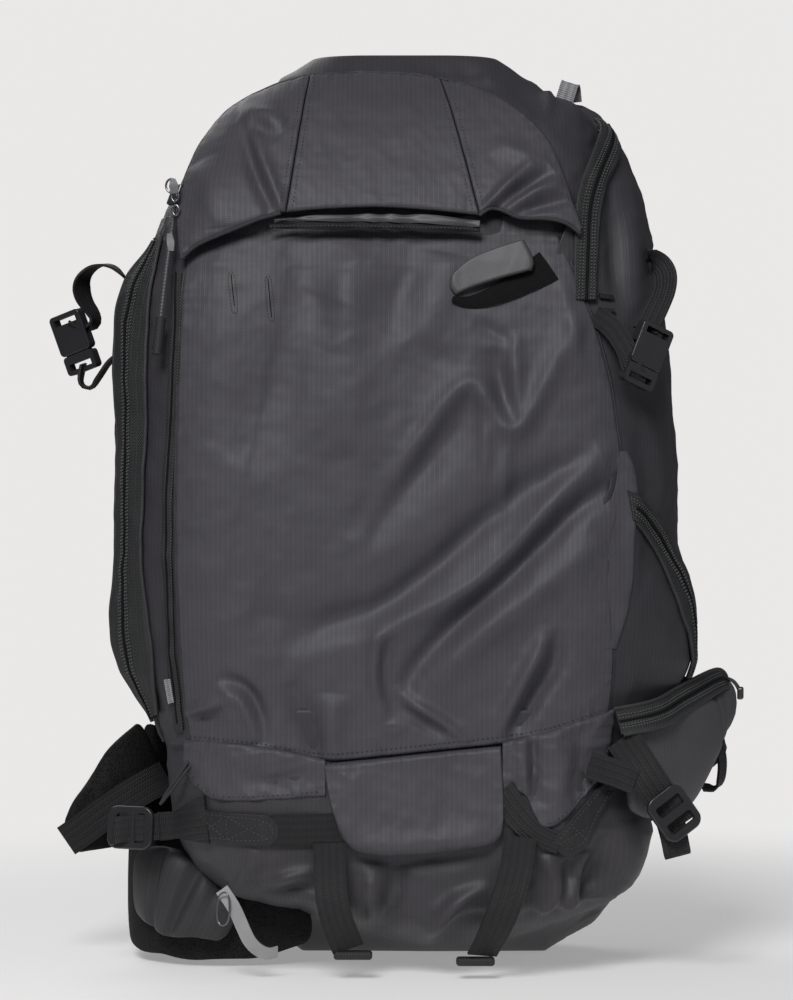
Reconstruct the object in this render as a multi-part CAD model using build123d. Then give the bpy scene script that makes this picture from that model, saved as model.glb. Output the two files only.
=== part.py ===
"""Avalanche airbag backpack: a 35-litre touring pack with a fan-driven airbag system.

Frame: millimetres, +Z up to the haul loop, -Y the outer front face, +Y the wearer's back,
+X to the right of someone who looks at the front face. The origin lies on the flat base.
"""
from build123d import *
import math
import os

os.makedirs("parts", exist_ok=True)

# ---- driving dimensions -------------------------------------------------------------------
WALL = 3.0            # shell fabric with its foam and lining
GAP = 0.5             # clearance between pieces that move apart
SEAM_Z = 142.0        # seam where the front panel is hinged and the base begins
HOOD_Z = 465.0        # seam between the front panel and the hood
TOP_Z = 480.0         # where the side panels end and the top panel begins
BACK_Y = 88.0         # plane of the back wall's outer face
WEB = 20.0            # width of the carrying webbing
WEB_T = 1.6           # thickness of webbing
BUCKLE_WEB = 16.0     # webbing width of the side and sternum buckles
FIT = 0.05            # radial clearance of a running fit
FAR = 400.0           # beyond the pack in every direction

# Body form: height, left, right, front, back, front corner radius, back corner radius.
FORM = [
    (0, -62, 98, -50, 78, 35, 35),
    (18, -88, 128, -88, 84, 45, 38),
    (55, -126, 150, -102, BACK_Y, 60, 40),
    (135, -150, 158, -108, BACK_Y, 76, 40),
    (235, -180, 188, -110, BACK_Y, 84, 42),
    (335, -181, 184, -108, BACK_Y, 84, 42),
    (435, -175, 172, -100, BACK_Y, 78, 42),
    (505, -145, 152, -84, 86, 68, 40),
    (550, -110, 122, -58, 80, 48, 36),
    (586, -55, 66, -12, 58, 26, 26),
]

# Outline of the front panel and hood: (x, z), from the hinge seam's left end anticlockwise.
PANEL_OUTLINE = [
    (-133, SEAM_Z + GAP), (134, SEAM_Z + GAP), (140, 235), (142, 298), (133, 355), (120, 420),
    (113, 480), (105, 502), (94, 522), (78, 541), (53, 557), (24, 567), (-14, 571), (-52, 567),
    (-84, 557), (-108, 539), (-124, 510), (-132, 478), (-137, 430), (-138, 300),
]
PANEL_MIDDLE = (0.0, 340.0)
PANEL_REACH_Y = -15.0     # how far back the hood reaches


def save(name, *shapes):
    """Write one sub-part. Several shapes become one node of separate solids."""
    solids = [solid for shape in shapes for solid in shape.solids()]
    export_step(Compound(children=solids) if len(solids) > 1 else solids[0], f"parts/{name}.step")


def block(x0, x1, y0, y1, z0, z1):
    """A box given by its two corners."""
    return Pos((x0 + x1) / 2, (y0 + y1) / 2, (z0 + z1) / 2) * Box(x1 - x0, y1 - y0, z1 - z0)


def soft_block(x0, x1, y0, y1, z0, z1, radius):
    """A box with every edge rounded."""
    body = block(x0, x1, y0, y1, z0, z1)
    return fillet(body.edges(), radius)


def rod(radius, start, end):
    """A cylinder between two points."""
    a, b = Vector(*start), Vector(*end)
    return extrude(Plane(origin=a, z_dir=b - a) * Circle(radius), (b - a).length)


def outline_plate(points, y0, y1):
    """A plate with an outline in the XZ plane, from y0 to y1."""
    face = make_face(Polyline(*points, close=True))
    return extrude(Plane(origin=(0, y1, 0), x_dir=(1, 0, 0), z_dir=(0, -1, 0)) * face, y1 - y0)


def ribbon(points, across, width=WEB, thick=WEB_T):
    """Flat webbing through a list of points. across is the direction of its width."""
    path = [Vector(*p) for p in points]
    sections = []
    for i, point in enumerate(path):
        ahead = path[min(i + 1, len(path) - 1)] - path[max(i - 1, 0)]
        normal = ahead.cross(Vector(*across)).normalized()
        wide = normal.cross(ahead).normalized()
        sections.append(Plane(origin=point, x_dir=wide, z_dir=ahead) * Rectangle(width, thick))
    runs = [loft(pair, ruled=True) for pair in zip(sections, sections[1:])]
    return runs[0].fuse(*runs[1:])


def upright_band(stations, split):
    """Padding that stands on edge, as two pieces that meet at one station.

    Stations are x, y, lowest z, highest z, thickness.
    """
    sections = []
    for i, (x, y, z0, z1, thick) in enumerate(stations):
        before, after = stations[max(i - 1, 0)], stations[min(i + 1, len(stations) - 1)]
        ahead = Vector(after[0] - before[0], after[1] - before[1], 0)
        plane = Plane(origin=(x, y, (z0 + z1) / 2), x_dir=(0, 0, 1), z_dir=ahead)
        corner = min(z1 - z0, thick) * 0.4
        sections.append(plane * RectangleRounded(z1 - z0, thick, corner))
    return loft(sections[:split + 1]), loft(sections[split:])


def tube(points, radius, corner_radii, bore=0.0):
    """A round tube or cord on straight runs joined by tangent arcs."""
    path = FilletPolyline(*points, radius=corner_radii)
    start = Plane(origin=path @ 0, z_dir=path % 0)
    section = start * Circle(radius)
    if bore:
        section -= start * Circle(bore)
    return sweep(section, path=path)


def largest_radii(points):
    """The largest corner radii that the runs on each side of a corner leave room for."""
    radii = []
    for a, b, c in zip(points, points[1:], points[2:]):
        before, after = Vector(*b) - Vector(*a), Vector(*c) - Vector(*b)
        half_turn = math.radians(before.get_angle(after)) / 2
        radii.append(0.45 * min(before.length, after.length) / math.tan(half_turn))
    return radii


def grown(points, by):
    """The panel outline moved outward by a clearance."""
    cx, cz = PANEL_MIDDLE
    moved = []
    for x, z in points:
        length = math.hypot(x - cx, z - cz)
        moved.append((x + (x - cx) / length * by, z + (z - cz) / length * by))
    return moved


def form(inset):
    """The pack's closed outer form, drawn in by a distance."""
    sections = []
    for i, (z, x0, x1, y0, y1, front_r, back_r) in enumerate(FORM):
        lift = inset if i == 0 else -inset if i == len(FORM) - 1 else 0
        corners = [(x0 + inset, y0 + inset), (x1 - inset, y0 + inset),
                   (x1 - inset, y1 - inset), (x0 + inset, y1 - inset)]
        radii = [front_r - inset, front_r - inset, back_r - inset, back_r - inset]
        edge = FilletPolyline(*corners, radius=radii, close=True)
        sections.append(Plane.XY.offset(z + lift) * make_face(edge))
    return loft(sections)


OUTER = form(0)
CLEAR = form(-0.4)              # what is sewn or hung on the outside stays out of this


def skin(inner_gap, thick, *outlines):
    """Pieces that lie on the front of the pack, cut to outlines seen from the front."""
    layer = form(-inner_gap - thick) - form(-inner_gap)
    return [layer & outline_plate(outline, -FAR, 0) for outline in outlines]


# ---- shell of sewn panels ------------------------------------------------------------------
BACK_SPLIT_X = 120.0            # side seams of the back wall
ZIP_BACK_Y = -26.0              # where the gussets and the wide zips end and the side panels begin
# The wide zips' tapes, seen from the front: (x, z). The right one passes behind the front panel.
LEFT_ZIP = [
    (-149, 463), (-152, 424), (-153, 362), (-157, 302), (-159, 262), (-160, 200), (-154, 163),
    (-200, 163), (-200, 463),
]
RIGHT_ZIP_TOP = [(100, 418), (125, 418), (126, 450), (127, 472), (131, 497), (100, 497)]
RIGHT_ZIP_LOW = [
    (135, 290), (147, 281), (160, 268), (174, 248), (182, 227), (187, 199), (230, 199), (230, 248),
    (187, 248), (176, 269), (162, 286), (146, 302), (135, 310),
]
CABLE_PORT = (-70.0, 476.0)     # where the trigger cable enters the back wall


def shell():
    """The sewn shell, cut into its panels: the opening front and hood, and all that stays."""
    wall = OUTER - form(WALL)
    front = wall & outline_plate(PANEL_OUTLINE, -FAR, PANEL_REACH_Y)
    save("front_panel", front & block(-FAR, FAR, -FAR, FAR, 0, HOOD_Z))
    save("hood_panel", front & block(-FAR, FAR, -FAR, FAR, HOOD_Z, 2 * FAR))

    hole = grown(PANEL_OUTLINE, 4 * GAP)
    hole[0] = (hole[0][0], SEAM_Z)
    hole[1] = (hole[1][0], SEAM_Z)
    rest = wall - outline_plate(hole, -FAR, PANEL_REACH_Y + 1)
    rest -= rod(4.5, (CABLE_PORT[0], 60, CABLE_PORT[1]), (CABLE_PORT[0], 110, CABLE_PORT[1]))
    save("base_shell", rest & block(-FAR, FAR, -FAR, FAR, -1, SEAM_Z))
    save("top_panel", rest & block(-FAR, FAR, -FAR, FAR, TOP_Z, 2 * FAR))
    upper = rest & block(-FAR, FAR, -FAR, FAR, SEAM_Z, TOP_Z)
    save("back_wall", upper & block(-BACK_SPLIT_X, BACK_SPLIT_X, 0, FAR, 0, FAR * 2))
    gussets, zips, panels = [], [], []
    for sign, tapes in [(-1, [LEFT_ZIP]), (1, [RIGHT_ZIP_TOP, RIGHT_ZIP_LOW])]:
        half = upper & block(min(0, sign * FAR), max(0, sign * FAR), -FAR, FAR, 0, FAR * 2)
        half -= block(-BACK_SPLIT_X, BACK_SPLIT_X, 0, FAR, 0, FAR * 2)
        gusset = half & block(-FAR, FAR, -FAR, ZIP_BACK_Y, 0, FAR * 2)
        for tape in tapes:
            plate = outline_plate(tape, -FAR, ZIP_BACK_Y)
            zips.append(gusset & plate)
            gusset -= plate
        gussets.append(gusset)
        panels.append(half & block(-FAR, FAR, ZIP_BACK_Y, FAR, 0, FAR * 2))
    save("side_panels", *panels)
    save("gussets", *gussets)
    save("side_zips", *zips)


shell()

# ---- carrying frame and back padding -------------------------------------------------------
frame_sheet = fillet(block(-108, 108, 81, 82.5, 62, 448).edges().filter_by(Axis.Y), 20)
save("frame_sheet", frame_sheet)
save("frame_stays", *[block(x - 6, x + 6, 77.6, 80.6, 66, 444) for x in (-60, 60)])
upper_pad = soft_block(-100, 100, BACK_Y, 101, 332, 424, 5)
left_pad = soft_block(-100, -14, BACK_Y, 101, 192, 324, 5)
right_pad = soft_block(14, 100, BACK_Y, 101, 192, 324, 5)
lumbar_pad = soft_block(-64, 64, BACK_Y - 1, 108, 60, 182, 7)
save("back_pads", *[pad - CLEAR for pad in (upper_pad, left_pad, right_pad, lumbar_pad)])
save("tool_divider", block(-104, 104, -87, -85.5, 152, 430))

# ---- stow flap, tool loops and lower straps on the base ------------------------------------
FLAP_OUTLINE = [
    (-44, SEAM_Z - 3), (64, SEAM_Z - 3), (66, 104), (62, 88), (52, 84), (-20, 82), (-34, 90), (-40, 106),
]
save("stow_flap", *skin(0.6, 2.4, FLAP_OUTLINE))

LEFT_LOOP = [(-41, -106.8, 79), (-41, -116, 66), (-39, -117, 50), (-35, -112, 34), (-31, -102, 20)]
RIGHT_LOOP = [(76, -108.2, 84), (73, -117, 68), (67, -118, 50), (60, -112, 31), (54, -101, 16)]
save("tool_loops", *[ribbon(loop, (1, 0, 0)) - CLEAR for loop in (LEFT_LOOP, RIGHT_LOOP)])
tips = []
for x, y, z in [(-27, -98.5, 17), (49, -97.5, 13)]:
    tips.append(soft_block(x - 12, x + 12, y - 5, y + 5, z - 4, z + 1.2, 2))

LEFT_PATCH = [(-124, 88.5), (-80, 88), (-74, 92), (-72, 98), (-74, 104), (-80, 108), (-124, 109)]
RIGHT_PATCH = [(96, 88), (104, 84), (140, 118), (133, 127)]
save("tool_loop_tips", *tips)
LEFT_BASE_WEB = [(-71, 89), (-46, 89), (-43, 107), (-71, 107)]
RIGHT_BASE_WEB = [(73, 108), (92, 87), (100, 96), (82, 114)]
LEG_STRAP = [
    (-103, -99, 56), (-99, -102, 44), (-94, -102, 33), (-87, -99, 25), (-79, -95, 20), (-71, -91, 27),
]
leg_strap = ribbon(LEG_STRAP, (0.8, -0.3, 0.5), 8, 1.4)
base_webs = skin(0.6, 1.4, LEFT_BASE_WEB, RIGHT_BASE_WEB)
save("base_webs", *skin(0.6, 2.0, LEFT_PATCH, RIGHT_PATCH), *base_webs, leg_strap - CLEAR)


# ---- ladder locks --------------------------------------------------------------------------
def ladder_lock():
    """A plastic strap adjuster: a rounded frame with three bars. Local X is across the web."""
    plate = extrude(RectangleRounded(27, 31, 7), 4.2, both=False)
    plate = fillet(plate.edges().group_by(Axis.Z)[-1] + plate.edges().group_by(Axis.Z)[0], 1.2)
    for y in (-6.8, 5.6):
        plate -= Pos(0, y, 0) * extrude(RectangleRounded(18.6, 7, 1.5), 12, both=True)
    return plate


LEFT_LADDER = Plane(origin=(-167, -63, 91), x_dir=(0.05, 0.1, 1), z_dir=(-0.35, -1, 0.1))
RIGHT_LADDER = Plane(origin=(171, -103, 104), x_dir=(0.82, -0.05, 0.57), z_dir=(0.25, -1, 0.1))
save("ladder_lock_left", LEFT_LADDER.location * ladder_lock())
save("ladder_lock_right", RIGHT_LADDER.location * ladder_lock())


# ---- side-release buckles ------------------------------------------------------------------
def buckle_socket(web):
    """The receiving half. Local X points out of the back, the mouth is at X = 0."""
    shape = fillet(block(0, 27, -web / 2 - 4, web / 2 + 4, -4, 4).edges().filter_by(Axis.Z), 3)
    shape = fillet(shape.edges().group_by(Axis.Z)[-1] + shape.edges().group_by(Axis.Z)[0], 1)
    shape -= block(-1, 17, -web / 2 - 1.5, web / 2 + 1.5, -2.4, 2.4)
    shape -= block(5, 13, -web, web, -2.4, 2.4)
    shape -= block(20, 24, -web / 2 - 0.5, web / 2 + 0.5, -9, 9)
    return shape


def buckle_prongs(web):
    """The entering half. Two arms reach into the socket, and it leaves along -X."""
    shape = fillet(block(-13, -0.5, -web / 2 - 3.5, web / 2 + 3.5, -3.5, 3.5).edges().filter_by(Axis.Z), 2.5)
    shape -= block(-10, -6, -web / 2 - 0.5, web / 2 + 0.5, -9, 9)
    for sign in (-1, 1):
        middle = sign * (web / 2 - 1)
        shape += block(-1, 15, middle - 2, middle + 2, -2, 2)
    shape += block(-1, 12, -1.2, 1.2, -1.6, 1.6)
    return shape


LEFT_BUCKLE = Plane(origin=(-206, -6, 394), x_dir=(-0.35, 0, 1), z_dir=(-0.5, -1, -0.18))
RIGHT_BUCKLE = Plane(origin=(152, -103, 381), x_dir=(0.38, 0.12, 1), z_dir=(0.55, -1, -0.1))
STERNUM_BUCKLE = Plane(origin=(4, 161, 345), x_dir=(-1, 0, 0), z_dir=(0, 1, 0))
HIP_SOCKET = Plane(origin=(-107, 123, 104), x_dir=(-1, 0, 0), z_dir=(0, 1, 0))
HIP_PRONGS = Plane(origin=(124, 123, 104), x_dir=(-1, 0, 0), z_dir=(0, 1, 0))
save("side_buckle_sockets", *[p.location * buckle_socket(BUCKLE_WEB) for p in (LEFT_BUCKLE, RIGHT_BUCKLE)])
save("side_buckle_left_prongs", LEFT_BUCKLE.location * buckle_prongs(BUCKLE_WEB))
save("side_buckle_right_prongs", RIGHT_BUCKLE.location * buckle_prongs(BUCKLE_WEB))
save("sternum_buckle_socket", STERNUM_BUCKLE.location * buckle_socket(BUCKLE_WEB))
save("sternum_buckle_prongs", STERNUM_BUCKLE.location * buckle_prongs(BUCKLE_WEB))
save("hip_buckle_socket", HIP_SOCKET.location * buckle_socket(WEB + 5))
save("hip_buckle_prongs", HIP_PRONGS.location * buckle_prongs(WEB + 5))

# Compression webbing: an upper web into each side socket, and a tab for each ladder lock.
LEFT_SIDE_WEB = [(-180, -6, 441), (-192, -6, 449), (-203, -6, 442), (-205, -6, 432), (-200, -6, 426)]
RIGHT_SIDE_WEB = [(166, -64, 452), (174, -69, 451), (180, -77, 437), (174, -89, 422), (165, -99, 411)]
LEFT_TAB = [(-135, -62, 93), (-142, -63, 92), (-148, -63, 92)]
RIGHT_TAB = [(122, -99, 133), (136, -103, 129), (146, -104.5, 125)]
compression_webs = [
    ribbon(LEFT_SIDE_WEB, (0, 1, 0), BUCKLE_WEB),
    ribbon(RIGHT_SIDE_WEB, (-0.5, 0.8, 0.3), BUCKLE_WEB),
    ribbon(LEFT_TAB, (0, 0, 1), 18),
    ribbon(RIGHT_TAB, (0, 0.1, 1), 17),
]
save("compression_webs", *[web - CLEAR for web in compression_webs])

# ---- hook-and-loop ski strap on the front panel --------------------------------------------
TAB_OUTLINE = [(34, 434), (41, 428), (82, 444), (84, 458), (78, 461), (44, 449)]
save("ski_strap_tab", *skin(2.4, 2.0, TAB_OUTLINE))

# ---- front pocket zip slider with its pull cord --------------------------------------------
CORD_R = 1.5
ZIP_ARC = (72.8, 390.9)         # y and z of the centre of the curve that the slider follows
ZIP_ARC_R = 173.5
SLIDER_ANGLE = 34.9             # the closed end of the zip, above the horizontal
angle = math.radians(SLIDER_ANGLE)
slider_at = (-139.2, ZIP_ARC[0] - ZIP_ARC_R * math.cos(angle), ZIP_ARC[1] + ZIP_ARC_R * math.sin(angle))
slider_plane = Plane(origin=slider_at, x_dir=(0.65, -0.76, 0), z_dir=(-0.7, -0.6, 0.42))
slider_body = slider_plane.location * soft_block(-4.5, 4.5, -7, 7, -1.8, 1.8, 1.2)
save("tool_zip_slider", slider_body)
PULL_CORD = [
    (-139.5, -75.5, 482.5), (-140, -84.5, 469), (-141.5, -91, 455), (-143.2, -95.2, 440),
    (-144.8, -98, 425), (-146.2, -99.6, 411),
]
cord_radii = largest_radii(PULL_CORD)
pull_cord = tube(PULL_CORD, CORD_R, cord_radii)
run = sum((Vector(*b) - Vector(*a)).length for a, b in zip(PULL_CORD, PULL_CORD[1:]))
print("pull cord radii", [round(r) for r in cord_radii], "runs", round(run, 1),
      "volume / section", round(pull_cord.volume / (math.pi * CORD_R ** 2), 1))
save("tool_zip_cord", pull_cord)
grip_end = Vector(*PULL_CORD[-1])
grip_way = (grip_end - Vector(*PULL_CORD[-2])).normalized()
save("tool_zip_grip", rod(3.2, tuple(grip_end), tuple(grip_end + grip_way * 23)))

# ---- shoulder harness ----------------------------------------------------------------------
STRAP_X = [42, 45, 51, 59, 67, 75, 81, 84]
STRAP_Y = [94, 111, 129, 142, 148, 147, 140, 130]
STRAP_Z = [449, 453, 441, 405, 360, 310, 262, 222]
straps = []
for sign in (-1, 1):
    centre = [(sign * x, y, z) for x, y, z in zip(STRAP_X, STRAP_Y, STRAP_Z)]
    straps.append(ribbon(centre, (1, 0, 0), 60, 10))
save("shoulder_straps", *straps)
webs, lifters, locks = [], [], []
for sign in (-1, 1):
    shoulder_web = [(sign * 87, 126, 206), (sign * 100, 112, 190), (sign * 124, 90.5, 172)]
    lifter = [(sign * 42, 128, 458), (sign * 42, 104, 487), (sign * 42, 89, 507)]
    webs.append(ribbon(shoulder_web, (1, 0.6, 0.5), 18))
    lifters.append(ribbon(lifter, (1, 0, 0), 15))
    lock_plane = Plane(origin=(sign * 85, 129, 209), x_dir=(1, 0, 0), z_dir=(0, 1, -0.3))
    locks.append(lock_plane.location * soft_block(-14, 14, -8, 8, -3, 3, 1.5))
save("shoulder_locks", *[lock - web for lock, web in zip(locks, webs)])

# Sternum strap: clips on both shoulder straps, each with half of the webbing.
CLIP_X = 63.0
clips = [Pos(x, 158, 345) * soft_block(-9, 9, -3, 3, -10, 10, 1.5) for x in (-CLIP_X, CLIP_X)]
save("sternum_clips", *clips)
save("sternum_web_left", block(-CLIP_X - 8, -24, 161.3, 162.9, 337, 353))
save("sternum_web_right", block(18, CLIP_X + 8, 161.3, 162.9, 337, 353))

# Haul loop: a padded tube that hangs from two sewn tabs.
HAUL_X = 24.0
HAUL_PIVOT = (95.0, 548.0)
haul_path = [(-HAUL_X, 95, 547), (-HAUL_X, 97, 508), (HAUL_X, 97, 508), (HAUL_X, 95, 547)]
save("haul_loop", tube(haul_path, 5, 15))
tabs = [block(s * HAUL_X - 7, s * HAUL_X + 7, 76, 89, 541, 555) for s in (-1, 1)]
save("harness_webs", *[web - CLEAR for web in webs + lifters + tabs])

# ---- hip belt ------------------------------------------------------------------------------
LEFT_BAND = [
    (-75, 99, 25, 145, 12), (-128, 101, 30, 146, 13), (-155, 92, 34, 148, 14), (-168, 68, 28, 150, 14),
    (-172, 38, 10, 110, 14), (-171, 8, 8, 94, 14), (-164, -18, 6, 76, 12), (-152, -38, 8, 66, 8),
]
LEFT_TIP = [(-182, 46, 70, 140, 8), (-193, 26, 66, 120, 8), (-209, 6, 64, 100, 7)]
RIGHT_BAND = [
    (95, 99, 60, 170, 12), (150, 102, 64, 176, 13), (186, 93, 104, 184, 14), (204, 70, 136, 184, 15),
    (215, 38, 150, 182, 18), (207, 0, 138, 182, 17), (189, -42, 106, 180, 14), (167, -79, 98, 176, 8),
    (143, -98, 128, 174, 5),
]
LEFT_BELT_WEB = [(-180, 76, 110), (-194, 96, 110), (-186, 115, 107), (-160, 123, 104), (-136, 123, 104)]
RIGHT_BELT_WEB = [(216, 84, 150), (225, 100, 142), (210, 119, 122), (175, 123, 108), (139, 123, 104)]
WING_STATION = 3                # where the wing ends and the pouch or pocket begins
wing_left, pouch_left = upright_band(LEFT_BAND, WING_STATION)
wing_right, pocket_right = upright_band(RIGHT_BAND, WING_STATION)
tip_left = upright_band(LEFT_TIP, 1)
tip_left = tip_left[0] + tip_left[1] - pouch_left
save("hip_wing_left", wing_left, tip_left, ribbon(LEFT_BELT_WEB, (0, 0, 1), WEB + 5))
save("hip_wing_right", wing_right, ribbon(RIGHT_BELT_WEB, (0, 0, 1), WEB + 5))
save("hip_pouch_left", pouch_left)
save("hip_pocket_right", pocket_right)
POCKET_ARC = Vector(-3, 70, 170)      # centre of the hip pocket zip's curve
hip_slider = Pos(POCKET_ARC) * Rot(0, 0, -8) * soft_block(231.2, 235.2, -6, 6, -4, 4, 1.2)
save("hip_pocket_slider", hip_slider)

# ---- airbag, fan and electronics inside the pack -------------------------------------------
bundle = block(-100, 105, 25, 62, 495, 538)
bundle += block(-135, -98, 25, 62, 330, 505) + block(103, 140, 25, 62, 330, 505)
save("airbag_bundle", bundle)

FAN_Z = 428.0
FAN_R = 45.0


def fan_cylinder(radius, y0, y1, x=0.0, z=FAN_Z):
    """A cylinder along Y, on the fan's axis unless it is given another place."""
    return rod(radius, (x, y0, z), (x, y1, z))


outlet = rod(14, (0, 46, FAN_Z), (0, 46, 500))
save("fan_housing_rear", fan_cylinder(FAN_R, 46, 72) - fan_cylinder(FAN_R - 3, 46, 69) - outlet)
front_half = fan_cylinder(FAN_R, 25, 46) - fan_cylinder(FAN_R - 3, 28, 46) - fan_cylinder(18, 20, 30)
save("fan_housing_front", front_half - outlet)
save("fan_motor", fan_cylinder(14, 55, 69) + fan_cylinder(2, 40, 56))
impeller = fan_cylinder(38, 50, 52) + fan_cylinder(8, 36, 54)
for i in range(9):
    blade = block(7, 37, 34, 51, FAN_Z - 0.8, FAN_Z + 0.8)
    impeller += blade.rotate(Axis((0, 0, FAN_Z), (0, 1, 0)), 40 * i)
save("impeller", impeller - fan_cylinder(2 + FIT, 30, 56))
screen = fan_cylinder(22, 23, 24.8)
for i in range(8):
    screen -= fan_cylinder(4, 20, 30, 13 * math.cos(i * math.pi / 4), FAN_Z + 13 * math.sin(i * math.pi / 4))
save("inlet_screen", screen - fan_cylinder(4, 20, 30))
duct = rod(17, (0, 46, 460), (0, 46, 495)) - rod(14, (0, 46, 450), (0, 46, 500))
save("air_duct", duct - fan_cylinder(FAN_R + 0.1, 20, 80))

CASE = (-60, 60, 42, 76, 250, 370)
case = block(*CASE) - block(-58, 58, 40, 74, 252, 368)
screws, lid_holes = [], []
for x in (-53, 53):
    for z in (257, 363):
        case += rod(4, (x, 42, z), (x, 75, z))
        case -= rod(1.5 + FIT, (x, 40, z), (x, 56, z))
        screws.append(rod(2.8, (x, 38, z), (x, 40, z)) + rod(1.5, (x, 39, z), (x, 54, z)))
        lid_holes.append(rod(1.6, (x, 30, z), (x, 50, z)))
LEVER = (-38.0, 353.0)
case += rod(2, (LEVER[0], 46, LEVER[1]), (LEVER[0], 75, LEVER[1]))
save("electronics_case", case - rod(2.6, (-54, 58, 360), (-54, 58, 380)))
KNOB = (34.0, 338.0)
lid = block(-60, 60, 40, 42, 250, 370) - rod(3 + FIT, (KNOB[0], 30, KNOB[1]), (KNOB[0], 50, KNOB[1]))
for hole in lid_holes:
    lid -= hole
save("electronics_lid", lid)
save("case_screws", *screws)
knob = rod(10, (KNOB[0], 31, KNOB[1]), (KNOB[0], 39.4, KNOB[1]))
knob = fillet(knob.edges().group_by(Axis.Y)[0], 1.5)
knob += block(KNOB[0] - 1.5, KNOB[0] + 1.5, 29.5, 32, KNOB[1] - 8, KNOB[1] + 8)
save("power_knob", knob + rod(3, (KNOB[0], 38, KNOB[1]), (KNOB[0], 47, KNOB[1])))
save("supercapacitors", rod(14.5, (-35, 59, 264), (-35, 59, 340)), rod(14.5, (-4, 59, 264), (-4, 59, 340)))
save("battery_cells", rod(7.2, (20, 59, 264), (20, 59, 314)), rod(7.2, (38, 59, 264), (38, 59, 314)))
save("control_board", block(10, 48, 70, 71.6, 316, 358))
arm = block(LEVER[0], LEVER[0] + 18, 50, 54, LEVER[1] - 2.5, LEVER[1] + 2.5)
lever = rod(5, (LEVER[0], 50, LEVER[1]), (LEVER[0], 54, LEVER[1])) + arm
save("trigger_lever", lever - rod(2 + FIT, (LEVER[0], 40, LEVER[1]), (LEVER[0], 60, LEVER[1])))

# ---- trigger on the left shoulder strap ----------------------------------------------------
TRIGGER = (-79.0, 162.0)        # x and y of the handle's axis
handle = rod(9, (*TRIGGER, 226), (*TRIGGER, 289))
handle = fillet(handle.edges(), 4) + rod(4, (*TRIGGER, 288), (*TRIGGER, 316))
save("trigger_handle", handle)
sleeve = soft_block(-91, -67, 153.5, 172, 292, 321, 3) - rod(4 + FIT, (*TRIGGER, 280), (*TRIGGER, 318))
save("trigger_sleeve", sleeve - rod(2.6, (*TRIGGER, 300), (*TRIGGER, 330)))
CABLE = [
    (*TRIGGER, 320.5), (-78, 162, 350), (-76, 158, 385), (-74, 150, 425), (-72, 136, 458), (-70, 114, 474),
    (-70, 92, 477), (-70, 75, 471), (-66, 65, 445), (-57, 59, 415), (-54, 58, 392), (-54, 58, 366),
]
save("trigger_cable", tube(CABLE, 2.5, largest_radii(CABLE)))
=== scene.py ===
"""Avalanche airbag backpack: how each piece looks. Every size is in metres."""
import math
import random

import bpy
import numpy as np
from mathutils import Matrix, Vector


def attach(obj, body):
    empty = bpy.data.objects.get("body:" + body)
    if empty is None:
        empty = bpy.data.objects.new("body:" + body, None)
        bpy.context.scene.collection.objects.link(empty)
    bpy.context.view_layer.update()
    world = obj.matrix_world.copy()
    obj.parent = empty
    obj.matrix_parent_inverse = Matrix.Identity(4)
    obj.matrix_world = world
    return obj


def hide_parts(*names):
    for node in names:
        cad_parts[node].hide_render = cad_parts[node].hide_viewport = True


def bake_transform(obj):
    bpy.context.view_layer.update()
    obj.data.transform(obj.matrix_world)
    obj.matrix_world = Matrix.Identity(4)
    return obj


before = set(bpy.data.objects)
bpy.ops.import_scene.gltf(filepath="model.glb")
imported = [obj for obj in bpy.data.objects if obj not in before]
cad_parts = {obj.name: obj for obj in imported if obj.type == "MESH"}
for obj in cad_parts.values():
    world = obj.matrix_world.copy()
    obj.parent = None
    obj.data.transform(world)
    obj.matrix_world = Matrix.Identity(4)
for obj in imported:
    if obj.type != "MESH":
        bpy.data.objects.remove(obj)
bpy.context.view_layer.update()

# ---- Camera, floor and light ---------------------------------------------------------------
# A long lens looks level at the middle of the pack. The floor is a pale disc that fades into a
# backdrop of its own colour. One wide lamp stands high in front, a weak one at the right, and one
# behind.
PALE = (0.82, 0.81, 0.805, 1)

VIEW_HEIGHT = 0.298
VIEW_DISTANCE = 2.1
LAMP_AIM = Vector((0, 0, 0.3))

bpy.ops.object.select_all(action="DESELECT")
bpy.ops.object.camera_add(location=(0, -VIEW_DISTANCE, VIEW_HEIGHT), rotation=(math.pi / 2, 0, 0))
camera = bpy.context.object
camera.data.lens = 116.1
camera.data.sensor_width = 36
camera.data.clip_end = 30
scene = bpy.context.scene
scene.camera = camera
scene.view_settings.view_transform = "Standard"

for name, place, size, power in [
    ("key_lamp", (-0.5, -2.1, 1.9), 1.0, 50),
    ("fill_lamp", (2.2, -1.5, 0.9), 1.6, 4),
    ("rear_lamp", (-0.9, 2.2, 1.7), 1.4, 18),
]:
    bpy.ops.object.light_add(type="AREA", location=place)
    lamp = bpy.context.object
    lamp.name = name
    lamp.data.size = size
    lamp.data.energy = power
    lamp.rotation_euler = (LAMP_AIM - Vector(place)).to_track_quat("-Z", "Y").to_euler()


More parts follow.
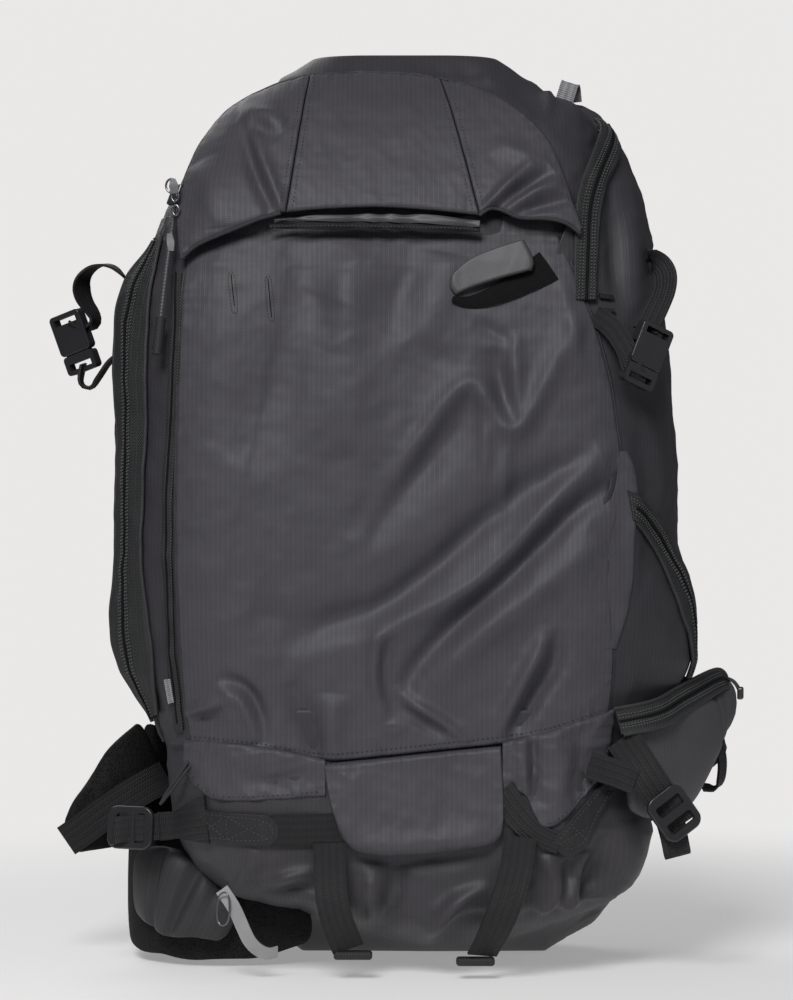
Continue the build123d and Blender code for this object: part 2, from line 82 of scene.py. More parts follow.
class Wire:
    """A value or a colour inside a material. Arithmetic on it adds Math nodes."""

    def __init__(self, finish, socket):
        self.finish = finish
        self.socket = socket

    def maths(self, operation, *others):
        return self.finish.node("ShaderNodeMath", {"operation": operation}, (self, *others))

    def __add__(self, other):
        return self.maths("ADD", other)

    __radd__ = __add__

    def __sub__(self, other):
        return self.maths("SUBTRACT", other)

    def __rsub__(self, other):
        return self.finish.node("ShaderNodeMath", {"operation": "SUBTRACT"}, (other, self))

    def __mul__(self, other):
        return self.maths("MULTIPLY", other)

    __rmul__ = __mul__

    def __truediv__(self, other):
        return self.maths("DIVIDE", other)

    def __pow__(self, other):
        return self.maths("POWER", other)

    def __abs__(self):
        return self.maths("ABSOLUTE")

    def ridge(self, pitch):
        """0 between threads and 1 on the middle of each thread of that pitch."""
        return self.maths("PINGPONG", pitch / 2) / (pitch / 2)

    def between(self, low, high):
        """0 below low, 1 above high."""
        return self.finish.node("ShaderNodeMapRange", {"interpolation_type": "SMOOTHSTEP"}, (self, low, high))


class Finish:
    """A material on the Principled shader. Constants go straight to the shader's sockets."""

    def __init__(self, name, **constants):
        self.material = bpy.data.materials.new(name)
        self.material.use_nodes = True
        self.tree = self.material.node_tree
        self.shader = self.tree.nodes["Principled BSDF"]
        self.drive(**constants)

    def drive(self, **values):
        for socket, value in values.items():
            self.wire(value, self.shader.inputs[socket.replace("_", " ")])
        return self

    def wire(self, value, socket):
        if isinstance(value, Wire):
            self.tree.links.new(value.socket, socket)
        else:
            socket.default_value = value

    def node(self, kind, settings=None, values=(), output=0):
        made = self.tree.nodes.new(kind)
        for key, value in (settings or {}).items():
            setattr(made, key, value)
        pairs = values.items() if isinstance(values, dict) else enumerate(values)
        for key, value in pairs:
            self.wire(value, made.inputs[key])
        return Wire(self, made.outputs[output])

    def blend(self, factor, low, high):
        """A colour between two others."""
        mixed = {0: factor, 6: low, 7: high}
        return self.node("ShaderNodeMix", {"data_type": "RGBA"}, mixed, output=2)

    def weave(self):
        """Across and along the cloth, in metres, from the piece's own map."""
        spot = self.node("ShaderNodeTexCoord", output=2)
        return spot, self.axis(spot, 0), self.axis(spot, 1)

    def place(self):
        return self.node("ShaderNodeTexCoord", output=3)

    def axis(self, spot, which):
        return self.node("ShaderNodeSeparateXYZ", None, (spot,), output=which)

    def noise(self, spot, scale, detail=3.0):
        return self.node("ShaderNodeTexNoise", None, {
            "Vector": spot, "Scale": scale, "Detail": detail, "Roughness": 0.55})

    def bump(self, height, depth):
        """Height runs from 0 to 1, depth is in metres."""
        return self.node("ShaderNodeBump", None, {"Height": height, "Distance": depth, "Strength": 1.0})


floor_radius = 2.2
bpy.ops.mesh.primitive_circle_add(vertices=96, radius=floor_radius, fill_type="NGON", location=(0, 0, 0))
floor = bpy.context.object
floor.name = "floor"
paper = Finish("floor_paper", Roughness=0.9, Base_Color=(0.74, 0.733, 0.73, 1), Emission_Color=PALE,
               Emission_Strength=0.35)
from_middle = paper.node("ShaderNodeVectorMath", {"operation": "LENGTH"}, (paper.place(),), output=1)
paper.drive(Alpha=1 - from_middle.between(0.32, 0.95))
floor.data.materials.append(paper.material)

world = bpy.data.worlds.new("studio")
scene.world = world
world.use_nodes = True
sky = world.node_tree
rays = sky.nodes.new("ShaderNodeLightPath")
seen = sky.nodes.new("ShaderNodeMath")
seen.operation = "MAXIMUM"
sky.links.new(rays.outputs["Is Camera Ray"], seen.inputs[0])
sky.links.new(rays.outputs["Is Transmission Ray"], seen.inputs[1])
backdrop = sky.nodes.new("ShaderNodeMix")
backdrop.data_type = "RGBA"
backdrop.inputs[6].default_value = (0.115, 0.12, 0.128, 1)
backdrop.inputs[7].default_value = PALE
sky.links.new(seen.outputs[0], backdrop.inputs[0])
sky.links.new(backdrop.outputs[2], sky.nodes["Background"].inputs["Color"])
sky.nodes["Background"].inputs["Strength"].default_value = 1.0


# ---- Pull cord of the tool pocket's zip ----------------------------------------------------
# A thin braided cord, knotted to the zip's slider, that hangs along the pack's left front edge.
# It ends in a moulded rubber grip.
def finished(piece, finish, body, slot, *nodes):
    """Gives a piece its finish and its body, and hides the CAD nodes it stands for. slot is not used."""
    if finish is not None:
        piece.data.materials.clear()
        piece.data.materials.append(finish.material)
    if nodes:
        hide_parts(*nodes)
    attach(piece, body)
    return piece


def spline(name, points, radius, closed=False):
    """A smooth curve through given points, as one NURBS spline."""
    curve = bpy.data.curves.new(name, "CURVE")
    curve.dimensions = "3D"
    line = curve.splines.new("NURBS")
    line.points.add(len(points) - 1)
    for point, spot in zip(line.points, points):
        point.co = (*spot, 1)
    line.order_u = 3
    line.use_endpoint_u = not closed
    line.use_cyclic_u = closed
    line.resolution_u = 8
    curve.bevel_depth = radius
    curve.bevel_resolution = 4
    curve.use_fill_caps = True
    piece = bpy.data.objects.new(name, curve)
    scene.collection.objects.link(piece)
    return piece


CORD_POINTS = [
    (-0.1395, -0.0755, 0.4825), (-0.14, -0.0845, 0.469), (-0.1415, -0.091, 0.455),
    (-0.1432, -0.0952, 0.44), (-0.1448, -0.098, 0.425), (-0.1462, -0.0996, 0.411),
]
cord = spline("pull_cord", CORD_POINTS, 0.0014)
braid = Finish("cord_braid", Roughness=0.42)
height = braid.axis(braid.place(), 2)
strand = (height.ridge(0.0022) + braid.noise(braid.place(), 900)) / 2
braid.drive(Base_Color=braid.blend(strand, (0.03, 0.03, 0.032, 1), (0.1, 0.1, 0.105, 1)),
            Normal=braid.bump(strand, 0.0003))
finished(cord, braid, "tool_zip_pull", "pull_cord", "tool_zip_cord")


def kept(finish, *nodes):
    """CAD nodes whose shape is right as it is: they only get their finish."""
    for node in nodes:
        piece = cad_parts[node]
        piece.data.materials.clear()
        piece.data.materials.append(finish.material)


def shades(tone, *shares):
    """A tone made darker or paler by each share, as colours with alpha."""
    return [tuple(c * share for c in tone) + (1,) for share in shares]


def moulded(name, tone, rough=0.4, grain=900, depth=0.00005, **more):
    """Moulded plastic or rubber with a fine grain."""
    plastic = Finish(name, **more)
    speck = plastic.noise(plastic.place(), grain, 2)
    wear = plastic.noise(plastic.place(), 60, 4)
    dark, pale = shades(tone, 0.8, 1.25)
    return plastic.drive(Base_Color=plastic.blend(wear, dark, pale), Roughness=rough + wear * 0.16 - 0.08,
                         Normal=plastic.bump(speck, depth))


grip_rubber = Finish("grip_rubber", Roughness=0.62)
KNURL_PITCH = 0.0018
spot = grip_rubber.place()
knurl = (grip_rubber.axis(spot, 2) + grip_rubber.axis(spot, 0)).ridge(KNURL_PITCH) ** 2
knurl = knurl * (grip_rubber.axis(spot, 2) - grip_rubber.axis(spot, 0)).ridge(KNURL_PITCH) ** 2
grip_rubber.drive(Base_Color=grip_rubber.blend(knurl, (0.012, 0.012, 0.013, 1), (0.05, 0.05, 0.052, 1)),
                  Normal=grip_rubber.bump(knurl, 0.0004))
zinc = moulded("slider_zinc", (0.16, 0.16, 0.165), 0.36, Metallic=1.0)
kept(grip_rubber, "tool_zip_grip")
kept(zinc, "tool_zip_slider", "hip_pocket_slider")


# ---- Front panel ---------------------------------------------------------------------------
# One large piece of ribbed, coated ripstop over thin foam, zipped down both sides and sewn to
# the base. It is slack, so it falls into long folds from the pinch in its right edge.
# The pack's sections: height, left, right, front, back, front and back corner radius.
STATIONS = np.array([
    (0.0, -0.062, 0.098, -0.05, 0.078, 0.035, 0.035),
    (0.018, -0.088, 0.128, -0.088, 0.084, 0.045, 0.038),
    (0.055, -0.126, 0.15, -0.102, 0.088, 0.06, 0.04),
    (0.135, -0.15, 0.158, -0.108, 0.088, 0.076, 0.04),
    (0.235, -0.18, 0.188, -0.11, 0.088, 0.084, 0.042),
    (0.335, -0.181, 0.184, -0.108, 0.088, 0.084, 0.042),
    (0.435, -0.175, 0.172, -0.1, 0.088, 0.078, 0.042),
    (0.505, -0.145, 0.152, -0.084, 0.086, 0.068, 0.04),
    (0.55, -0.11, 0.122, -0.058, 0.08, 0.048, 0.036),
    (0.586, -0.055, 0.066, -0.012, 0.058, 0.026, 0.026),
])
HEIGHTS, SHAPES = STATIONS[:, 0], STATIONS[:, 1:]
SLOPES = np.gradient(SHAPES, HEIGHTS, axis=0)


def sections(z):
    """The pack's section at each height, on a smooth curve through the stations."""
    z = np.clip(z, HEIGHTS[0], HEIGHTS[-1])
    i = np.clip(np.searchsorted(HEIGHTS, z, side="right") - 1, 0, len(HEIGHTS) - 2)
    step = (HEIGHTS[i + 1] - HEIGHTS[i])[:, None]
    s = (z - HEIGHTS[i])[:, None] / step
    rise = (s ** 3 - 2 * s ** 2 + s) * SLOPES[i] + (s ** 3 - s ** 2) * SLOPES[i + 1]
    mixed = (2 * s ** 3 - 3 * s ** 2 + 1) * SHAPES[i] + (3 * s ** 2 - 2 * s ** 3) * SHAPES[i + 1]
    return (mixed + rise * step).T


def form_points(t, z):
    """Points on the pack at height z, a distance t round from the middle of its front."""
    left, right, front, back, front_r, back_r = sections(z)
    half = np.where(t < 0, -left, right)
    flat = half - front_r
    far = np.abs(t)
    wall = back - back_r - front - front_r
    corner = np.clip((far - flat) / front_r, 0, math.pi / 2)
    past = far - flat - front_r * math.pi / 2
    rear = np.clip((past - wall) / back_r, 0, math.pi / 2)
    rest = np.clip(past - wall - back_r * math.pi / 2, 0, None)
    x = np.minimum(far, flat) + front_r * np.sin(corner) - back_r * (1 - np.cos(rear)) - rest
    y = front + front_r * (1 - np.cos(corner)) + np.clip(past, 0, wall) + back_r * np.sin(rear)
    return np.stack([np.where(t < 0, -x, x), y, z], 1)


def on_pack(t, z, out=0.0):
    """Points that stand out from the pack's form."""
    step = 2e-4
    along = form_points(t + step, z) - form_points(t - step, z)
    up = form_points(t, z + step) - form_points(t, z - step)
    normal = np.cross(along, up)
    normal /= np.linalg.norm(normal, axis=1)[:, None]
    return form_points(t, z) + normal * np.reshape(out, (-1, 1))


def across(x, z):
    """Distance round to a place that is seen at x from the front."""
    left, right, _, _, front_r, _ = sections(z)
    flat = np.where(x < 0, -left, right) - front_r
    corner = np.arcsin(np.clip((np.abs(x) - flat) / front_r, 0, 1))
    return np.where(x < 0, -1, 1) * (np.minimum(np.abs(x), flat) + front_r * corner)


def round_to(y, z, side):
    """Distance round to a place at y on the left (-1) or right (1) side."""
    left, right, front, back, front_r, back_r = sections(z)
    flat = np.where(side < 0, -left, right) - front_r
    corner = np.arccos(np.clip(1 - (y - front) / front_r, 0, 1))
    wall = np.clip(y - front - front_r, 0, back - back_r - front - front_r)
    rear = np.arcsin(np.clip((y - back + back_r) / back_r, 0, 1))
    return side * (flat + front_r * corner + wall + back_r * rear)


def softened(points, times=2):
    """A line with its corners rounded off."""
    line = np.array(points, float)
    for _ in range(times):
        near = 0.75 * line[:-1] + 0.25 * line[1:]
        far = 0.25 * line[:-1] + 0.75 * line[1:]
        line = np.vstack([line[:1], np.stack([near, far], 1).reshape(-1, line.shape[1]), line[-1:]])
    return line


def distances(line):
    """How far along the line each of its points is."""
    return np.concatenate([[0], np.cumsum(np.linalg.norm(np.diff(line, axis=0), axis=1))])


def at_distances(line, far, s):
    """Places on the line at distances s along it."""
    return np.stack([np.interp(s, far, line[:, k]) for k in range(line.shape[1])], 1)


def run(points, s):
    """Points at fractions s of the softened line."""
    line = softened(points)
    far = distances(line)
    return at_distances(line, far, s * far[-1])


def creases(table, x, z):
    """Height of cloth in folds. Each fold is its width, its height and the line it follows."""
    spots = np.stack([x, z], 1)
    height = np.zeros(len(x))
    for width, rise, points in table:
        line = softened(points)
        far = distances(line)
        best = np.full(len(x), np.inf)
        where = np.zeros(len(x))
        for a, b, start, end in zip(line, line[1:], far, far[1:]):
            k = np.clip((spots - a) @ (b - a) / max((b - a) @ (b - a), 1e-12), 0, 1)
            gap = np.linalg.norm(spots - a - k[:, None] * (b - a), axis=1)
            nearer = gap < best
            best = np.where(nearer, gap, best)
            where = np.where(nearer, (start + k * (end - start)) / far[-1], where)
        fade = np.sin(math.pi * where) ** 0.6
        height += rise * np.exp(-(best / width) ** 2) * fade
    return height


def above(height, by):
    """A height function that stands by higher than another one."""
    return lambda x, z, t: height(x, z, t) + by


def rumple(x, z, seed, height, longest=0.09, shortest=0.014):
    """Small slack waves all over a piece of cloth."""
    dice = random.Random(seed)
    total = np.zeros(len(x))
    for _ in range(18):
        wave = longest * (shortest / longest) ** dice.random()
        way = dice.uniform(0, math.pi)
        phase = dice.uniform(0, 2 * math.pi)
        swing = np.sin(2 * math.pi / wave * (x * math.cos(way) + z * math.sin(way)) + phase)
        total += (wave / longest) ** 0.8 * (1 - 2 * np.abs(swing) ** 0.7) * 0.4
    return total * height


NO_ROLLS = (0, 0, 0, 0)
CLOTH_THICK = 0.0016
EDGE_CREASE = 50
EDGE_GATHER = 0.11
PUCKER_REACH = 0.007


def grid_piece(name, across_cells, along_cells):
    """A flat grid to be shaped. It comes with each vertex's place across and along it, from -0.5 to 0.5."""
    bpy.ops.object.select_all(action="DESELECT")
    bpy.ops.mesh.primitive_grid_add(x_subdivisions=across_cells, y_subdivisions=along_cells, size=1)
    piece = bpy.context.object
    piece.name = piece.data.name = name
    spots = np.empty(len(piece.data.vertices) * 3)
    piece.data.vertices.foreach_get("co", spots)
    return piece, *spots.reshape(-1, 3)[:, :2].T


def shaped(piece, spots, spread):
    """Moves the grid's vertices to their places. spread is their place on the cloth, in metres."""
    mesh = piece.data
    mesh.vertices.foreach_set("co", spots.ravel())
    corner = np.empty(len(mesh.loops), dtype=int)
    mesh.loops.foreach_get("vertex_index", corner)
    mesh.uv_layers.active.data.foreach_set("uv", np.stack(spread, 1)[corner].ravel())
    mesh.update()


def walled(piece, thick, offset=-1, crease=None):
    """Gives a shaped grid its thickness. Edges sharper than crease, in degrees, stay sharp."""
    wall = piece.modifiers.new("wall", "SOLIDIFY")
    wall.thickness = thick
    wall.offset = offset
    bpy.ops.object.modifier_apply(modifier=wall.name)
    if crease is None:
        bpy.ops.object.shade_smooth()
    else:
        bpy.ops.object.shade_smooth_by_angle(angle=math.radians(crease))
    return piece


def joined_up(threshold):
    """Sews the active piece's meeting edges together, with its normals outward."""
    bpy.ops.object.mode_set(mode="EDIT")
    bpy.ops.mesh.select_all(action="SELECT")
    bpy.ops.mesh.remove_doubles(threshold=threshold)
    bpy.ops.mesh.normals_make_consistent(inside=False)
    bpy.ops.object.mode_set(mode="OBJECT")


def cloth(name, edges, cells, out, seen_flat=True, rolls=(0.0025,) * 4, dip=0.0028, thick=CLOTH_THICK,
          pucker=0.0004, chart="pack"):
    """A sewn piece on the pack between four edge lines: bottom, right, top, left.

    The lines hold x (or the distance round, if not seen_flat) and height. The piece stands out as
    out(x, z, t) says. Its edges roll in to the seams and are drawn up a little by the stitching.
    """
    piece, u, v = grid_piece(name, *cells)
    u, v = (s + 0.5 - EDGE_GATHER * np.sin(2 * math.pi * (s + 0.5)) for s in (u, v))
    bottom, right, top, left = edges
    low, high, west, east = run(bottom, u), run(top, u), run(left, v), run(right, v)
    a, b = u[:, None], v[:, None]
    corners = ((1 - a) * (1 - b) * np.array(bottom[0]) + a * (1 - b) * np.array(bottom[-1])
               + (1 - a) * b * np.array(top[0]) + a * b * np.array(top[-1]))
    x, z = ((1 - b) * low + b * high + (1 - a) * west + a * east - corners).T
    t = across(x, z) if seen_flat else x
    wide = np.linalg.norm(east - west, axis=1)
    tall = np.linalg.norm(high - low, axis=1)
    stand = out(x, z, t)
    far_round = (v * tall, (1 - u) * wide, (1 - v) * tall, u * wide)
    travel = (t, z, t, z)
    for distance, way, roll in zip(far_round, travel, rolls):
        if roll:
            near = np.clip(1 - distance / roll, 0, 1)
            stand = stand - dip * (1 - np.sqrt(1 - near ** 2))
            drawn = np.sin(way / 0.0016 + 3 * np.sin(way / 0.0061)) * np.exp(-distance / PUCKER_REACH)
            stand = stand + pucker * drawn * np.clip(distance / 0.002, 0, 1)
    shaped(piece, on_pack(t, z, stand), (t, z) if chart == "pack" else ((u - 0.5) * wide, v * tall))
    return walled(piece, thick)


GRID_PITCH = 0.00135


def ripstop(name, tone, rib=0.0031, shine=0.5):
    """Coated nylon: upright ribs, a fine square grid, and a low broad shine."""
    fabric = Finish(name, Specular_IOR_Level=0.36)
    spot, u, v = fabric.weave()
    ribs = u.ridge(rib) ** 3
    grid = (u.ridge(GRID_PITCH) ** 3 + v.ridge(GRID_PITCH) ** 3) / 2
    cloud = fabric.noise(spot, 55, 4)
    dust = fabric.noise(spot, 1400, 2)
    # The ribs and grid lines are painted paler than the cloth between them: painted highlights on the raised
    # threads. The cloud and dust noise is the cloth's own uneven tone.
    light = ribs * 0.28 + grid * 0.35 + cloud * 0.5 + dust * 0.25
    dark, pale = shades(tone, 0.78, 1.22)
    fabric.drive(Base_Color=fabric.blend(light.between(0.1, 1.1), dark, pale),
                 Roughness=shine + cloud * 0.14 - ribs * 0.05,
                 Normal=fabric.bump(ribs * 0.35 + grid * 0.6 + dust * 0.3, 0.0001))
    return fabric


charcoal = ripstop("ripstop_charcoal", (0.068, 0.064, 0.073), shine=0.5)

FRONT_FOLDS = [
    (0.013, -0.0026, [(-0.064, 0.462), (-0.056, 0.43), (-0.036, 0.395)]),
    (0.013, 0.0026, [(-0.026, 0.462), (-0.03, 0.425), (-0.04, 0.39)]),
    (0.012, -0.0026, [(0.014, 0.462), (0.006, 0.432), (-0.006, 0.4)]),
    (0.014, 0.0022, [(0.03, 0.452), (0.022, 0.41), (0.012, 0.38)]),
    (0.02, -0.003, [(-0.045, 0.425), (-0.07, 0.372), (-0.1, 0.322)]),
    (0.024, 0.003, [(-0.036, 0.44), (-0.036, 0.39), (-0.034, 0.325)]),
    (0.0065, 0.0034, [(0.118, 0.42), (0.092, 0.369), (0.0715, 0.3335), (0.058, 0.36), (0.047, 0.3735),
                      (0.032, 0.361), (0.008, 0.324), (-0.028, 0.268)]),
    (0.005, 0.0022, [(0.073, 0.402), (0.074, 0.375), (0.073, 0.348)]),
    (0.0055, 0.002, [(0.07, 0.336), (0.066, 0.315), (0.066, 0.29)]),
    (0.0045, 0.0018, [(0.052, 0.366), (0.055, 0.34), (0.055, 0.305)]),
    (0.006, -0.003, [(0.06, 0.392), (0.063, 0.375), (0.069, 0.345)]),
    (0.011, -0.004, [(0.048, 0.36), (0.027, 0.328), (0.0, 0.302), (-0.026, 0.272)]),
    (0.009, -0.0058, [(0.125, 0.327), (0.079, 0.307), (0.045, 0.276), (0.023, 0.256), (-0.01, 0.231),
                      (-0.075, 0.207)]),
    (0.0075, -0.0062, [(0.162, 0.318), (0.1235, 0.302), (0.103, 0.285), (0.073, 0.256), (0.0455, 0.23),
                       (0.014, 0.199), (0.0027, 0.178), (-0.002, 0.155)]),
    (0.0075, 0.004, [(0.14, 0.337), (0.11, 0.312), (0.083, 0.28), (0.06, 0.25), (0.008, 0.225), (-0.022, 0.208)]),
    (0.0095, 0.0038, [(0.128, 0.275), (0.092, 0.245), (0.055, 0.217), (0.022, 0.184)]),
    (0.0036, 0.0034, [(0.0, 0.184), (0.007, 0.173), (0.022, 0.166), (0.046, 0.148)]),
    (0.0036, -0.0024, [(0.003, 0.171), (0.012, 0.162), (0.031, 0.152)]),
    (0.005, 0.0032, [(-0.01, 0.218), (-0.014, 0.195), (-0.008, 0.169), (0.004, 0.154)]),
    (0.0045, -0.0034, [(-0.004, 0.214), (-0.009, 0.186), (-0.003, 0.16)]),
    (0.006, -0.0052, [(0.099, 0.218), (0.0995, 0.199), (0.086, 0.178), (0.067, 0.148)]),
    (0.0055, 0.0038, [(0.096, 0.22), (0.079, 0.188), (0.061, 0.148)]),
    (0.0042, 0.0028, [(-0.14, 0.158), (-0.118, 0.17), (-0.1, 0.176)]),
    (0.0042, -0.0024, [(-0.142, 0.162), (-0.122, 0.162), (-0.105, 0.166)]),
    (0.005, -0.0036, [(-0.112, 0.188), (-0.094, 0.184), (-0.0845, 0.169), (-0.082, 0.146)]),
    (0.0045, 0.0026, [(-0.112, 0.183), (-0.098, 0.177), (-0.088, 0.16), (-0.086, 0.148)]),
    (0.0075, -0.0042, [(-0.066, 0.186), (-0.056, 0.164), (-0.046, 0.132)]),
    (0.008, 0.003, [(-0.038, 0.178), (-0.041, 0.155), (-0.043, 0.135)]),
    (0.0045, -0.0016, [(0.048, 0.407), (0.061, 0.402), (0.073, 0.395)]),
    (0.008, -0.0016, [(0.006, 0.394), (0.018, 0.386), (0.033, 0.389)]),
    (0.008, -0.002, [(-0.09, 0.23), (-0.055, 0.222), (-0.02, 0.235)]),
    (0.006, 0.0018, [(0.1, 0.44), (0.11, 0.405), (0.112, 0.37)]),
]
PANEL_LEFT = [(-0.13, 0.146), (-0.133, 0.174), (-0.1367, 0.236), (-0.138, 0.298), (-0.1367, 0.36), (-0.1342, 0.422),
              (-0.1324, 0.453), (-0.13, 0.478)]
PANEL_RIGHT = [(0.133, 0.1645), (0.135, 0.185), (0.1355, 0.21), (0.132, 0.246), (0.1325, 0.271), (0.14, 0.298),
               (0.1465, 0.311), (0.1395, 0.327), (0.138, 0.343), (0.1335, 0.372), (0.127, 0.397), (0.1175, 0.4226),
               (0.1076, 0.448), (0.098, 0.478)]
PANEL_BOTTOM = [(-0.13, 0.146), (-0.103, 0.145), (-0.085, 0.143), (-0.066, 0.14), (-0.0456, 0.1355), (-0.01, 0.139),
                (0.027, 0.143), (0.065, 0.147), (0.092, 0.1515), (0.133, 0.1645)]

PANEL_CROWN, PANEL_HALF, PANEL_LOW, PANEL_TALL = 0.004, 0.15, 0.14, 0.33
STIFFENER_X, STIFFENER_Z = -0.066, 0.444


def front_height(x, z, t):
    bulge = np.clip(np.sin((z - PANEL_LOW) / PANEL_TALL * math.pi), 0, 1)
    crown = PANEL_CROWN * np.clip(1 - (x / PANEL_HALF) ** 2, 0, 1) * bulge
    tucked = -0.005 * np.clip((z - 0.445) / 0.02, 0, 1)
    # A stiffener sewn behind the cloth shows as a faint raised field with a rounded corner.
    right, above_it = x - STIFFENER_X, z - STIFFENER_Z
    off_corner = np.maximum(right, above_it) + 0.25 * np.abs(right - above_it)
    backing = 0.0006 / (1 + np.exp(off_corner / 0.0007))
    return crown + tucked + backing + 1.55 * creases(FRONT_FOLDS, x, z) + rumple(x, z, 3, 0.0004)


front_panel = cloth("front_panel_cloth", (PANEL_BOTTOM, PANEL_RIGHT, [(-0.13, 0.478), (0.098, 0.478)], PANEL_LEFT),
                    (180, 220), front_height)
finished(front_panel, charcoal, "front_shell", "ripstop", "front_panel")


# ---- Hood ----------------------------------------------------------------------------------
# Three ripstop panels over foam, with topstitched seams. The hood overhangs the front panel,
# and the mouth of a pocket, bound with tape, opens under the edge of its middle panel.
HOOD_LEFT_SEAM = [(-0.0686, 0.4754), (-0.065, 0.5), (-0.0605, 0.535), (-0.0554, 0.572)]
HOOD_RIGHT_SEAM = [(0.0515, 0.4735), (0.044, 0.505), (0.036, 0.54), (0.028, 0.569)]
HOOD_LEFT_HEM = [(-0.1305, 0.4465), (-0.123, 0.4548), (-0.101, 0.464), (-0.084, 0.472), (-0.0737, 0.4748),
                 (-0.0686, 0.4754)]
HOOD_RIGHT_HEM = [(0.0515, 0.4735), (0.056, 0.4775), (0.063, 0.479), (0.074, 0.4715), (0.095, 0.4715),
                  (0.107, 0.4675), (0.1135, 0.4605)]
HOOD_LEFT_SIDE = [(-0.1305, 0.4465), (-0.1335, 0.478), (-0.13, 0.509), (-0.117, 0.541)]
HOOD_RIGHT_SIDE = [(0.1135, 0.4605), (0.111, 0.47), (0.104, 0.494), (0.0965, 0.521), (0.083, 0.5395)]
LEFT_CROWN = [(-0.117, 0.541), (-0.104, 0.5525), (-0.09, 0.562), (-0.0554, 0.572)]
MIDDLE_CROWN = [(-0.0554, 0.572), (-0.012, 0.5745), (0.028, 0.569)]
RIGHT_CROWN = [(0.028, 0.569), (0.057, 0.5595), (0.083, 0.5395)]
HOOD_FOLDS = [
    (0.0052, -0.0036, [(-0.099, 0.536), (-0.094, 0.524), (-0.087, 0.5), (-0.073, 0.47)]),
    (0.0042, 0.003, [(-0.092, 0.532), (-0.082, 0.502), (-0.07, 0.472)]),
    (0.0055, -0.002, [(-0.093, 0.535), (-0.084, 0.532), (-0.074, 0.524)]),
    (0.007, 0.0024, [(-0.1, 0.543), (-0.085, 0.541), (-0.07, 0.533)]),
    (0.01, 0.0022, [(-0.122, 0.51), (-0.112, 0.49), (-0.108, 0.465)]),
    (0.0036, 0.0032, [(0.052, 0.474), (0.0715, 0.494), (0.086, 0.507)]),
    (0.004, -0.0034, [(0.054, 0.471), (0.076, 0.487), (0.096, 0.503)]),
    (0.0042, 0.0028, [(0.062, 0.475), (0.082, 0.487), (0.103, 0.494)]),
    (0.0042, -0.0026, [(0.068, 0.472), (0.089, 0.48), (0.11, 0.484)]),
    (0.006, 0.0018, [(0.06, 0.52), (0.078, 0.515), (0.095, 0.5)]),
]


def hood_height(x, z, t):
    overhang = 0.0085 * np.clip(1 - (z - 0.47) / 0.075, 0.1, 1)
    return overhang + 1.65 * creases(HOOD_FOLDS, x, z) + rumple(x, z, 8, 0.0004)


hood_cloth = ripstop("ripstop_hood", (0.062, 0.058, 0.067), shine=0.5)
for name, cells, lip, edges in [
    ("hood_left", (60, 80), 0.0045, (HOOD_LEFT_HEM, HOOD_LEFT_SEAM, LEFT_CROWN, HOOD_LEFT_SIDE)),
    ("hood_middle", (90, 80), 0.0035, ([(-0.0686, 0.4754), (-0.04, 0.478), (-0.01, 0.479), (0.025, 0.4765),
                                        (0.0515, 0.4735)], HOOD_RIGHT_SEAM, MIDDLE_CROWN, HOOD_LEFT_SEAM)),
    ("hood_right", (60, 80), 0.0045, (HOOD_RIGHT_HEM, HOOD_RIGHT_SIDE, RIGHT_CROWN, HOOD_RIGHT_SEAM)),
]:
    part = cloth(name, edges, cells, hood_height, rolls=(lip, 0.0016, 0.003, 0.0016), dip=0.0022, pucker=0.00025,
                 thick=0.0024)
    finished(part, hood_cloth, "front_shell", "ripstop", "hood_panel")


smoke = moulded("smoke_plastic", (0.17, 0.17, 0.18), 0.25)
ring_steel = moulded("ring_steel", (0.3, 0.3, 0.31), 0.3, Metallic=1.0)
# Small rings link the tool pocket's slider to its pull cord.
for i, (x, y, z, wide, tall) in enumerate([(-0.1412, -0.0785, 0.495, 0.0036, 0.0046),
                                           (-0.1385, -0.083, 0.488, 0.0024, 0.0036),
                                           (-0.1378, -0.0865, 0.479, 0.0022, 0.0034)]):
    circle = [(x + wide * math.sin(a * math.pi / 4), y - 0.3 * wide * math.sin(a * math.pi / 4),
               z + tall * math.cos(a * math.pi / 4)) for a in range(8)]
    finished(spline(f"pull_ring_{i}", circle, 0.0007, closed=True), ring_steel, "tool_zip_pull", "zinc")


# ---- Pocket mouth under the hood -----------------------------------------------------------
# The edge of the pocket is a pale coated lip, and below it a bound tape is stitched down. Both
# stand a little off the front panel and follow its width under the middle of the hood.
def strip(name, line, width, out, thick=0.0012, crown=0.0, wave=0.0, pitch=0.0025):
    """A band on the pack along a line. Its map is across and along the band, in metres."""
    path = softened(line, 3)
    far = distances(path)
    piece, u, v = grid_piece(name, 8, max(int(far[-1] / pitch), 4))
    v = v + 0.5
    s = v * far[-1]
    x, z = at_distances(path, far, s).T
    x = across(x, z)
    ahead = (at_distances(path, far, s + 1e-4) - at_distances(path, far, s - 1e-4)).T
    size = np.hypot(*ahead)
    wide = np.interp(v, np.linspace(0, 1, len(width)), width) if np.ndim(width) else np.full(len(v), width)
    side = u * wide
    t, z = x + side * ahead[1] / size, z - side * ahead[0] / size
    stand = out(x, z, t) if callable(out) else np.full(len(t), out)
    stand = stand + crown * (1 - 4 * u ** 2) + wave * np.sin(s / 0.0037 + 2 * np.sin(s / 0.011)) * np.abs(u) * 2
    shaped(piece, on_pack(t, z, stand), (side, s))
    return walled(piece, thick, crease=EDGE_CREASE)


def shifted(line, by):
    return [(x + by, z) for x, z in line]


def surface_line(line, out, seen_flat=True, pitch=0.003):
    """Points along a line on the pack, and the way out of the pack at each."""
    path = softened(line, 3)
    far = distances(path)
    x, z = at_distances(path, far, np.arange(0, far[-1], pitch)).T
    t = across(x, z) if seen_flat else x
    stand = out(x, z, t) if callable(out) else np.full(len(t), out)
    spots = on_pack(t, z, stand)
    return spots, on_pack(t, z, stand + 0.001) - spots


